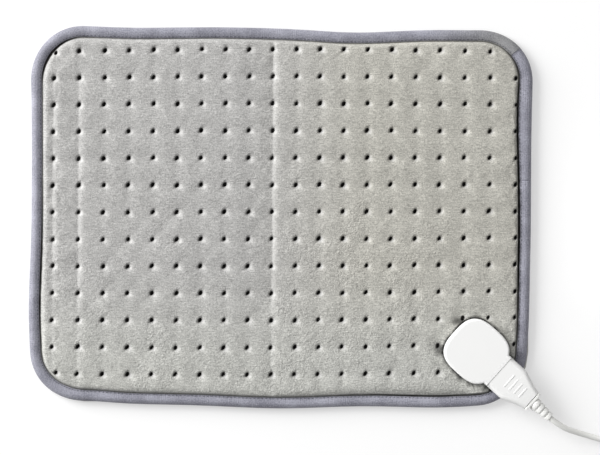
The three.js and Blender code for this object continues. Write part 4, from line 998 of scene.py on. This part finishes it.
# Edge binding: a soft folded roll of tape round the pad, sewn along its inner lip
binding = {
    "profile": [  # inset and height, from the inner lip over the top and back underneath
        (8.1, 4.5), (8.7, 4.6), (8.8, 5), (8.5, 5.5), (7.7, 6.1), (6.4, 6.75), (4.9, 7.15), (3.3, 7.1),
        (1.8, 6.5), (0.8, 5.5), (0.2, 4.2), (0, 3), (0.25, 1.9), (0.9, 0.95), (2, 0.3), (3.6, 0.04),
        (6, 0.02), (8.2, 0.04), (8.8, 0.3), (8.6, 0.75), (7.4, 0.9), (2, 0.95), (1.8, 3), (2, 4.5)],
    "step": 2.6, "join": topFrom - 37, "butt": rimMark("right", 29),
    "overlap": 0.6, "overlapRun": 14, "dip": 0.6, "sway": 0.25, "swayRun": 30, "ripple": 0.12, "rippleRun": 9}
stitchSet = {"pitch": 3.1, "length": 2, "width": 0.55, "place": (7.8, 6.05), "slant": 0.12}


def bindingPoint(mark, inset, z):
    b = binding
    lively = noise.noise((mark / b["swayRun"], 0, 5)) * b["sway"]
    lively += noise.noise((mark / b["rippleRun"], z, 2)) * b["ripple"]
    past = mark - b["join"]
    if z > 3:  # the upper fold
        z += 0.5 * lively
        if past > 0:  # one end of the tape overlaps the other
            z += b["overlap"] * math.exp(-past / b["overlapRun"])
        if abs(mark - b["butt"]) < 0.1:  # two lengths of tape meet edge to edge
            z -= b["dip"]
    if z > 1.5:
        inset += strayAt(seamStrays, mark) * smooth((inset - 2) / 6)
    place = rimPoint(mark, inset + (lively if inset > 6 else 0.3 * lively))
    return Vector((place.x, place.y, max(z, 0.02)))


def sewBinding():
    shape = bmesh.new()
    layer = shape.loops.layers.uv.new("tape")
    count = round(rimLength / binding["step"])
    join, butt = binding["join"], binding["butt"]
    joins = [join - 0.1, join + 0.5, butt - 0.5, butt, butt + 0.5]
    marks = sorted([rimLength * k / count for k in range(count)] + joins)
    profile = binding["profile"]
    across = [0]
    for a, b in zip(profile, profile[1:] + profile[:1]):
        across.append(across[-1] + math.dist(a, b))
    rings = [[shape.verts.new(bindingPoint(mark, inset, z) * mm) for inset, z in profile] for mark in marks]
    for k, mark in enumerate(marks):
        after = (k + 1) % len(marks)
        ends = (mark, mark, marks[after] or rimLength, marks[after] or rimLength)
        for n in range(len(profile)):
            m = (n + 1) % len(profile)
            face = shape.faces.new((rings[k][n], rings[k][m], rings[after][m], rings[after][n]))
            for loop, end, lane in zip(face.loops, ends, (n, n + 1, n + 1, n)):
                loop[layer].uv = (end * mm, across[lane] * mm)
    return pieceFrom(shape, "edgeBinding")


bindingTape = wovenTape("wovenBindingTape", "#a8a8b4", "#7a7a85", join=binding["join"], beyond="#f0f0e2")
bindingPiece = sewBinding()
dress(bindingPiece, "edgeBinding", "pad", ("edge_binding",), 60, bindingTape)


def sewStitches():  # one stitch is shaped by hand, then copied round the lip
    freshStart()
    bpy.ops.mesh.primitive_uv_sphere_add(segments=6, ring_count=5, radius=0.5 * stitchSet["width"] * mm)
    stitch = bpy.context.object
    edit(stitch)
    chooseAll()
    bpy.ops.transform.resize(value=(stitchSet["length"] / stitchSet["width"], 1, 0.8))
    done()
    count = round(rimLength / stitchSet["pitch"])
    stitches = [stitch] + [copyOf(stitch) for k in range(count - 1)]
    for k, twin in enumerate(stitches):
        mark = rimLength * k / count
        a = bindingPoint(mark, *stitchSet["place"])
        b = bindingPoint(mark + 0.5, *stitchSet["place"])
        turn = math.atan2(b.y - a.y, b.x - a.x) + stitchSet["slant"]
        twin.matrix_world = moved(a) @ Matrix.Rotation(turn, 4, "Z")
    whole = joinAll(stitches)
    settle(whole, Matrix.Identity(4))
    return whole


stitchPiece = sewStitches()
dress(stitchPiece, "bindingStitches", "pad", (), 60, stitchThread)
print("binding sewn")


# Socket on the pad: a rounded square with a neck that takes the plug
def squareRound(piece, half):  # pulls a round cylinder out to the rounded square
    edit(piece)
    shape = bmesh.from_edit_mesh(piece.data)
    power = 2 / socketSet["squareness"]
    for vert in shape.verts:
        angle = math.atan2(vert.co.y, vert.co.x)
        c, s = math.cos(angle), math.sin(angle)
        vert.co.x = math.copysign(abs(c) ** power, c) * half * mm
        vert.co.y = math.copysign(abs(s) ** power, s) * half * mm
    bmesh.update_edit_mesh(piece.data)


def makeSocket():
    s = socketSet
    cover = addPost(0, 0, s["half"], (s["low"], s["top"]), 96)
    squareRound(cover, s["half"])
    roundOff(lambda at, way: at.z > s["top"] - 0.1, s["edge"], 10, 0.58)
    done()
    halfNeck = s["neckWidth"] / 2
    neck = addBox((0, s["mating"]), (-halfNeck, halfNeck), (s["low"], s["low"] + s["neckHeight"]))
    edit(neck)
    roundOff(lengthwise, s["edge"], 8)
    roundOff(lambda at, way: at.x > s["mating"] - 0.01, 0.15, 2)
    done()
    combine(cover, neck, "UNION")
    inner = s["half"] - s["wall"]
    hollow = addPost(0, 0, inner, (s["low"] - 1, s["top"] - s["wall"] - 0.6), 64)
    squareRound(hollow, inner)
    done()
    combine(cover, hollow, "DIFFERENCE")
    mouthZ = (s["axis"] - s["mouthReach"], s["axis"] + s["mouthReach"])
    mouth = addBox((2, s["mating"] + 2), (-s["mouthHalf"], s["mouthHalf"]), mouthZ)
    combine(cover, mouth, "DIFFERENCE")
    settle(cover, socketPlace)
    return cover


socketCover = makeSocket()
dress(socketCover, "socketCover", "pad", ("socket_cover",), 28, whiteAbs)

# Plug: two shells with grip bars, tapering to its strain relief
plugSet = {
    "start": 23.75, "end": 58.3, "axis": 12.8, "width": 30, "height": 11, "edge": 3.6, "parting": 0.1,
    "sections": [(37.5, 30, 11), (40.5, 29.2, 11), (45.5, 25.4, 10.9), (51.5, 21, 10.6)],
    "last": (58.3, 17.4, 10), "boot": 58.6, "bars": 4, "barStart": 34.5, "barPitch": 4.7,
    "barLength": 12.6, "barHalf": 0.7, "barLow": 4.4, "barTop": 5.68}


def makePlug():
    p = plugSet
    halfWidth, halfHeight = p["width"] / 2, p["height"] / 2
    bodyZ = (p["axis"] - halfHeight, p["axis"] + halfHeight)
    body = addBox((p["start"], p["end"]), (-halfWidth, halfWidth), bodyZ)
    edit(body)
    taper(0, p["sections"], [p["last"]], (p["width"], p["height"]), p["axis"])
    roundOff(lambda at, way: abs(way.x) > 0.8, p["edge"], 8)
    roundOff(lambda at, way: at.x > p["end"] - 0.01, 0.6, 3)
    roundOff(lambda at, way: at.x < p["start"] + 0.01, 0.15, 2)
    done()
    halves = []
    for side in (1, -1):
        half = keepSide(body, p["axis"] + side * p["parting"], side, True)
        bevel(0.25, 2)
        done()
        halves.append(half)
    bpy.data.objects.remove(body)
    upper, lower = halves
    bars = []
    for k in range(p["bars"]):
        along = p["barStart"] + k * p["barPitch"]
        half = p["barLength"] / 2 - 0.5 * k
        barZ = (p["axis"] + p["barLow"], p["axis"] + p["barTop"] - 0.04 * k)
        bars.append(raisedBar(
            (along - p["barHalf"], along + p["barHalf"]), (-half, half), barZ, (0.68, 5), (0.25, 3)))
    upper = joinAll([upper] + bars)
    settle(upper, socketPlace)
    settle(lower, socketPlace)
    return upper, lower


plugUpper, plugLower = makePlug()
dress(plugUpper, "plugUpperShell", "lead", ("plug_upper_shell",), 30, whiteAbs)
dress(plugLower, "plugLowerShell", "lead", ("plug_lower_shell",), 30, whiteAbs)

# Strain reliefs: a soft ribbed sleeve
bootSet = {
    "length": 20, "root": 5.2, "tip": 3.7, "ribs": 4, "groove": 0.65,
    "flange": 2, "chamfer": 0.4, "bore": 2.35, "collar": (8.6, 4.8)}


def ribbedBoot(flangeRadius):  # along +X from its seat
    b = bootSet
    chamfered = flangeRadius - b["chamfer"]
    profile = [
        (0, -4), (3, -4), (3, 0), (chamfered, 0), (flangeRadius, b["chamfer"]),
        (flangeRadius, b["flange"] - b["chamfer"]), (chamfered, b["flange"])]
    step = (b["length"] - b["flange"]) / b["ribs"]
    for k in range(b["ribs"]):
        radius = b["root"] + (b["tip"] - b["root"]) * k / (b["ribs"] - 1)
        start = b["flange"] + k * step
        profile += [
            (radius - b["groove"], start + 0.05), (radius - b["groove"], start + 0.22 * step),
            (radius - 0.3, start + 0.27 * step), (radius, start + 0.36 * step),
            (radius, start + 0.9 * step), (radius - 0.3, start + step - 0.05)]
    profile += [(b["bore"], b["length"]), (b["bore"], b["length"] - 3), (0, b["length"] - 3)]
    return turnedPiece(profile)


def makePlugBoot():  # the plug's own has a flat collar as well
    boot = ribbedBoot(4)
    wide, high = bootSet["collar"]
    collar = addBox((0, bootSet["flange"]), (-wide, wide), (-high, high))
    edit(collar)
    roundOff(lengthwise, 2.6, 6)
    roundOff(lambda at, way: abs(way.x) < 0.1, 0.3, 2)
    done()
    boot = joinAll([boot, collar])
    settle(boot, socketPlace @ moved((plugSet["boot"], 0, plugSet["axis"])))
    return boot


plugBoot = makePlugBoot()
dress(plugBoot, "plugStrainRelief", "lead", ("plug_strain_relief",), 40, bootPvc)
glands = {  # node, seat, turn and radius of the flange
    "padLeadGland": ("pad_lead_gland", (286, -70.3, 10), -math.pi / 2, 6),
    "mainsLeadGland": ("mains_lead_gland", (286, 48.3, 10), math.pi / 2, 6),
    "mainsPlugBoot": ("mains_plug_boot", (336, 72.3, 6.8), math.pi / 2, 5.2)}
for name, (node, seat, turn, flangeRadius) in glands.items():
    boot = ribbedBoot(flangeRadius)
    settle(boot, moved(seat) @ Matrix.Rotation(turn, 4, "Z"))
    dress(boot, name, "lead", (node,), 40, bootPvc)
print("connector made")


# Ties round the two coils
tieSet = {
    "width": 8, "thick": 0.6, "inner": 15.4, "outer": 38.1, "top": 11.25, "round": 2.2,
    "tabX": (-13, -3), "tabZ": (0.55, 1.15), "tabMargin": 0.1}


def makeTie(coil, angle):
    t = tieSet
    half = t["width"] / 2
    strap = addBox((t["inner"], t["outer"]), (-half, half), (t["thick"], t["top"]))
    edit(strap)
    roundOff(lambda at, way: abs(way.y) > 0.9, t["round"], 6)
    choose("faces", lambda at, normal: abs(normal.y) > 0.9)
    bpy.ops.mesh.delete(type="ONLY_FACE")
    chooseAll()
    bpy.ops.mesh.subdivide(number_cuts=1)
    done()
    wall = strap.modifiers.new("wall", "SOLIDIFY")
    wall.thickness = t["thick"] * mm
    wall.offset = 1
    bpy.ops.object.modifier_apply(modifier=wall.name)
    tabX, tabZ = [t["outer"] + x for x in t["tabX"]], [t["top"] + z for z in t["tabZ"]]
    tab = addBox(tabX, (-half + t["tabMargin"], half - t["tabMargin"]), tabZ)
    edit(tab)  # the loose end of the strap, pressed down on itself
    roundOff(lambda at, way: upright(at, way) and at.x < t["outer"] - 10, 2.5, 5)
    roundOff(lambda at, way: abs(way.z) < 0.1, 0.15, 2)
    done()
    strap = joinAll([strap, tab])
    edit(strap)
    chooseAll()
    bpy.ops.uv.cube_project(cube_size=1.0)
    done()
    settle(strap, moved((*coil["centre"], 0)) @ Matrix.Rotation(angle, 4, "Z"))
    return strap


padTie = makeTie(padCoil, 0)
mainsTie = makeTie(mainsCoil, math.pi / 2)
dress(padTie, "padLeadTie", "lead", ("pad_lead_tie",), 40, loopStrap)
dress(mainsTie, "mainsLeadTie", "lead", ("mains_lead_tie",), 40, loopStrap)
print("ties closed")


# Hand controller: two shells, three buttons and a row of level lights
handSet = {
    "centre": (286, -11), "width": 46, "length": 118, "corner": 18, "height": 20, "split": 10,
    "parting": 0.15, "wall": 2, "roof": 2.5, "topEdge": 4.4, "bottomEdge": 2.2, "opening": (15, 22),
    "window": 33.5, "windowLength": 23, "windowWidth": 4, "windowGap": 0.5,
    "screwX": 14, "screwY": 42, "screwHole": 2.6}
keySet = {"plus": (20, 13), "power": (0, 15), "minus": (-20, 13)}  # place along the case, and opening
handPlace = moved((*handSet["centre"], 0))


def caseBlock(inset, low, high, topEdge, bottomEdge):
    halfWidth, halfLength = handSet["width"] / 2 - inset, handSet["length"] / 2 - inset
    block = addBox((-halfWidth, halfWidth), (-halfLength, halfLength), (low, high))
    edit(block)
    roundOff(upright, handSet["corner"] - inset, 14)
    for level, edge in ((high, topEdge), (low, bottomEdge)):
        if edge:
            roundOff(lambda at, way: abs(at.z - level) < 0.001, edge, 7)
    done()
    return block


def windowBar(grow, z, edge=None):  # the rounded bar of the light window, grown all round
    length, width = handSet["windowLength"] + grow, handSet["windowWidth"] + grow
    y = (handSet["window"] - width / 2, handSet["window"] + width / 2)
    return raisedBar((-length / 2, length / 2), y, z, (0.4 * width, 6), edge)


def makeCase():
    h = handSet
    whole = caseBlock(0, 0, h["height"], h["topEdge"], h["bottomEdge"])
    combine(whole, caseBlock(h["wall"], h["wall"], h["height"] - h["roof"], 2, 0), "DIFFERENCE")
    for y, diameter in keySet.values():
        combine(whole, addPost(0, y, diameter / 2, h["opening"], 64), "DIFFERENCE")
    combine(whole, windowBar(h["windowGap"], h["opening"]), "DIFFERENCE")
    for x in (-h["screwX"], h["screwX"]):
        for y in (-h["screwY"], h["screwY"]):
            combine(whole, addPost(x, y, h["screwHole"], (-1, 1.8), 32), "DIFFERENCE")
    shells = []
    for side in (1, -1):
        half = keepSide(whole, h["split"] + side * h["parting"], side, False)
        bpy.ops.mesh.bridge_edge_loops()
        done()
        settle(half, handPlace)
        shells.append(half)
    bpy.data.objects.remove(whole)
    return shells


caseTop, caseBottom = makeCase()
dress(caseTop, "controllerTopShell", "lead", ("controller_top_shell",), 30, whiteAbs)
dress(caseBottom, "controllerBottomShell", "lead",
      ("controller_bottom_shell",), 30, whiteAbs)

# Buttons with raised signs
signSet = {
    "level": 20.7, "sunk": 0.3, "proud": 0.18, "arm": 2.6, "half": 0.55,
    "corner": (0.3, 3), "edge": (0.12, 2), "ring": 3.1, "ringHole": 2.1, "gap": 1.3, "bar": 0.5}


def makeSign(kind, y):
    s = signSet
    z = (s["level"] - s["sunk"], s["level"] + s["proud"])
    through = (z[0] - 1, z[1] + 1)
    if kind == "power":
        ring = addPost(0, y, s["ring"], z, 48)
        combine(ring, addPost(0, y, s["ringHole"], through, 48), "DIFFERENCE")
        combine(ring, addBox((-s["gap"], s["gap"]), (y + 1, y + 4), through), "DIFFERENCE")
        bar = raisedBar((-s["bar"], s["bar"]), (y + 0.4, y + 3.8), z, s["corner"], s["edge"])
        return joinAll([ring, bar])
    level = raisedBar((-s["arm"], s["arm"]), (y - s["half"], y + s["half"]), z, s["corner"], s["edge"])
    if kind == "minus":
        return level
    cross = raisedBar((-s["half"], s["half"]), (y - s["arm"], y + s["arm"]), z, s["corner"], s["edge"])
    combine(cross, level, "UNION")
    return cross


def makeKey(kind, y, diameter):  # a stem, a flange below the case, and a cap with a dished top
    cap = diameter / 2 - 0.4
    flange = diameter / 2 + 1.4
    key = turnedPiece([
        (0, 12), (1.6, 12), (1.6, 15.8), (flange, 15.8), (flange, 17.2), (cap, 17.2), (cap, 20.3),
        (cap - 0.2, 20.75), (cap - 0.7, 21), (cap - 1.5, 20.9), (0.5 * cap, 20.62), (0, 20.55)], 64)
    settle(key, moved((0, y, 0)) @ Matrix.Rotation(-math.pi / 2, 4, "Y"))
    paint(key, greyKeycap)
    sign = makeSign(kind, y)
    paint(sign, signPrint)
    key = joinAll([key, sign])
    settle(key, handPlace)
    return dress(key, kind + "Button", kind + "_key", (kind + "_button",), 32)


for kind, (y, diameter) in keySet.items():
    makeKey(kind, y, diameter)

# Level lights: a diffuser bar with one lens for each heat level
rowSet = {
    "levels": 6, "pitch": 3.4, "radius": 0.8, "below": 0.15, "guideLow": 16.8,
    "foot": (15.8, 17.2), "footGrow": 3.2}


def makeLights():
    r = rowSet
    top = handSet["height"]
    guide = windowBar(0, (r["guideLow"], top - r["below"]), (0.3, 2))
    combine(guide, windowBar(r["footGrow"], r["foot"]), "UNION")
    paint(guide, amberDiffuser)
    lamps = []
    for k in range(r["levels"]):
        x = (k - (r["levels"] - 1) / 2) * r["pitch"]
        lamp = addPost(x, handSet["window"], r["radius"], (top - 0.4, top + 0.05), 24)
        edit(lamp)
        roundOff(lambda at, way: at.z > top, 0.2, 3)
        done()
        paint(lamp, litAmber)
        lamps.append(lamp)
    guide = joinAll([guide] + lamps)
    settle(guide, handPlace)
    return guide


dress(makeLights(), "levelLights", "lead", ("light_guide",), 32)
print("controller made")


# Mains plug with two round pins
mainsSet = {
    "centre": (336, 54, 6.8), "half": 18, "width": 34, "height": 13.6, "edge": 3.8,
    "sections": [(-9, 34, 13.6), (2, 26, 13.6)], "face": (-18, 30, 13.6), "rear": (18, 14, 11),
    "bars": 3, "barPitch": 3.6, "barWidth": 1.2, "barStart": -3.6, "barHalf": 6, "barZ": (6.2, 7),
    "pinApart": 9.5, "pinSeat": 36, "sleeveFrom": 26}


def makeMainsPlug():
    m = mainsSet
    halfWidth, halfHeight = m["width"] / 2, m["height"] / 2
    body = addBox((-halfWidth, halfWidth), (-m["half"], m["half"]), (-halfHeight, halfHeight))
    edit(body)
    taper(1, m["sections"], [m["face"], m["rear"]], (m["width"], m["height"]))
    roundOff(lambda at, way: abs(way.y) > 0.5, m["edge"], 7)
    roundOff(lambda at, way: abs(at.y) > m["half"] - 0.01, 0.8, 3)
    done()
    bars = []
    for k in range(m["bars"]):  # finger grips on the upper flat
        half = m["barHalf"] - 0.6 * k
        start = m["barStart"] + m["barPitch"] * k
        barY = (start, start + m["barWidth"])
        bars.append(raisedBar((-half, half), barY, m["barZ"], (0.55, 4), (0.25, 2)))
    body = joinAll([body] + bars)
    settle(body, moved(m["centre"]))
    return dress(body, "mainsPlugBody", "lead", ("mains_plug_body",), 34, whiteAbs)


mainsPlug = makeMainsPlug()
pinProfile = [(0, -1), (1.9, -1), (1.9, 10), (2, 10.1), (2, 17.4), (1.8, 18.2), (1.3, 18.8), (0, 19)]
for side, name in ((-1, "left"), (1, "right")):
    pin = turnedPiece(pinProfile, 32)
    pinX = mainsSet["centre"][0] + side * mainsSet["pinApart"]
    seat = (pinX, mainsSet["pinSeat"], mainsSet["centre"][2])
    settle(pin, moved(seat) @ Matrix.Rotation(-math.pi / 2, 4, "Z"))
    paint(pin, pinNickel)
    pin.data.materials.append(whiteAbs)
    for face in pin.data.polygons:  # the root of each pin is sleeved
        if face.center.y > mainsSet["sleeveFrom"] * mm:
            face.material_index = 1
    dress(pin, "mainsPin" + name.title(), "lead", ("mains_pin_" + name,), 40)
print("mains plug made")


# Pieces that stay as packed get their own finish
packedFinish = {
    "wire_carrier": carrierCloth, "thermal_cutout": darkPolymer, "supply_wire": wireSleeve,
    "heating_wire": wireSleeve, "socket_backing_plate": whiteAbs, "socket_base": whiteAbs,
    "socket_contact_block": darkPolymer, "socket_pin_left": contactBrass, "socket_pin_right": contactBrass,
    "plug_contact_insert": darkPolymer, "plug_contact_left": contactBrass, "plug_contact_right": contactBrass,
    "circuit_board": boardLaminate, "light_bar": amberDiffuser, "power_relay": darkPolymer,
    "film_capacitor": amberDiffuser, "fuse": screwSteel}
for node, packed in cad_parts.items():
    finish = packedFinish.get(node)
    if "screw" in node:
        finish = screwSteel
    if node.endswith("_switch"):
        finish = darkPolymer
    if finish:
        paint(packed, finish)


# Pale floor and soft studio light from the upper left
lightSet = {
    "place": (-3.4, 1.95, 1.8), "power": 319, "size": 2.8, "sky": 0.37, "floorGlow": 0.46, "floorTone": 0.56}


def seenRays(tree):  # rays that show a surface to the eye, straight or by way of metal and glass
    ray = addNode(tree, "ShaderNodeLightPath").node.outputs
    seen = addNode(tree, "ShaderNodeMath", {0: ray["Is Camera Ray"], 1: ray["Is Glossy Ray"]}, greater)
    return addNode(tree, "ShaderNodeMath", {0: seen, 1: ray["Is Transmission Ray"]}, greater)


freshStart()
bpy.ops.mesh.primitive_plane_add(size=6, location=(0, 0, -0.4 * mm))
floor = bpy.context.object
floor.name = "floor"
bpy.ops.object.transform_apply(location=True)
floorPaper, tree = newFinish("matPaperFloor")  # white paper that keeps the shadow
glow = addNode(tree, "ShaderNodeMath", {0: seenRays(tree), 1: lightSet["floorGlow"]}, times)
tone = lightSet["floorTone"]
shader = addNode(tree, "ShaderNodeBsdfPrincipled", {
    "Base Color": (tone, tone, tone, 1), "Roughness": 1.0, "Specular IOR Level": 0.0,
    "Emission Color": (1, 1, 1, 1), "Emission Strength": glow})
addNode(tree, "ShaderNodeOutputMaterial", {"Surface": shader})
paint(floor, floorPaper)

lampData = bpy.data.lights.new("keyLight", "AREA")
lampData.energy = lightSet["power"]
lampData.size = lightSet["size"]
lamp = addObject("keyLight", lampData)
lamp.location = lightSet["place"]
lamp.rotation_euler = (-Vector(lightSet["place"])).to_track_quat("-Z", "Y").to_euler()

sky = bpy.data.worlds.new("studio")
scene.world = sky
sky.use_nodes = True
tree = sky.node_tree
tree.nodes.clear()
strength = addNode(tree, "ShaderNodeMapRange", {
    "Value": seenRays(tree), "To Min": lightSet["sky"], "To Max": 1.0})
backdrop = addNode(tree, "ShaderNodeBackground", {"Color": (1, 1, 1, 1), "Strength": strength})
addNode(tree, "ShaderNodeOutputWorld", {"Surface": backdrop})
print("lit")
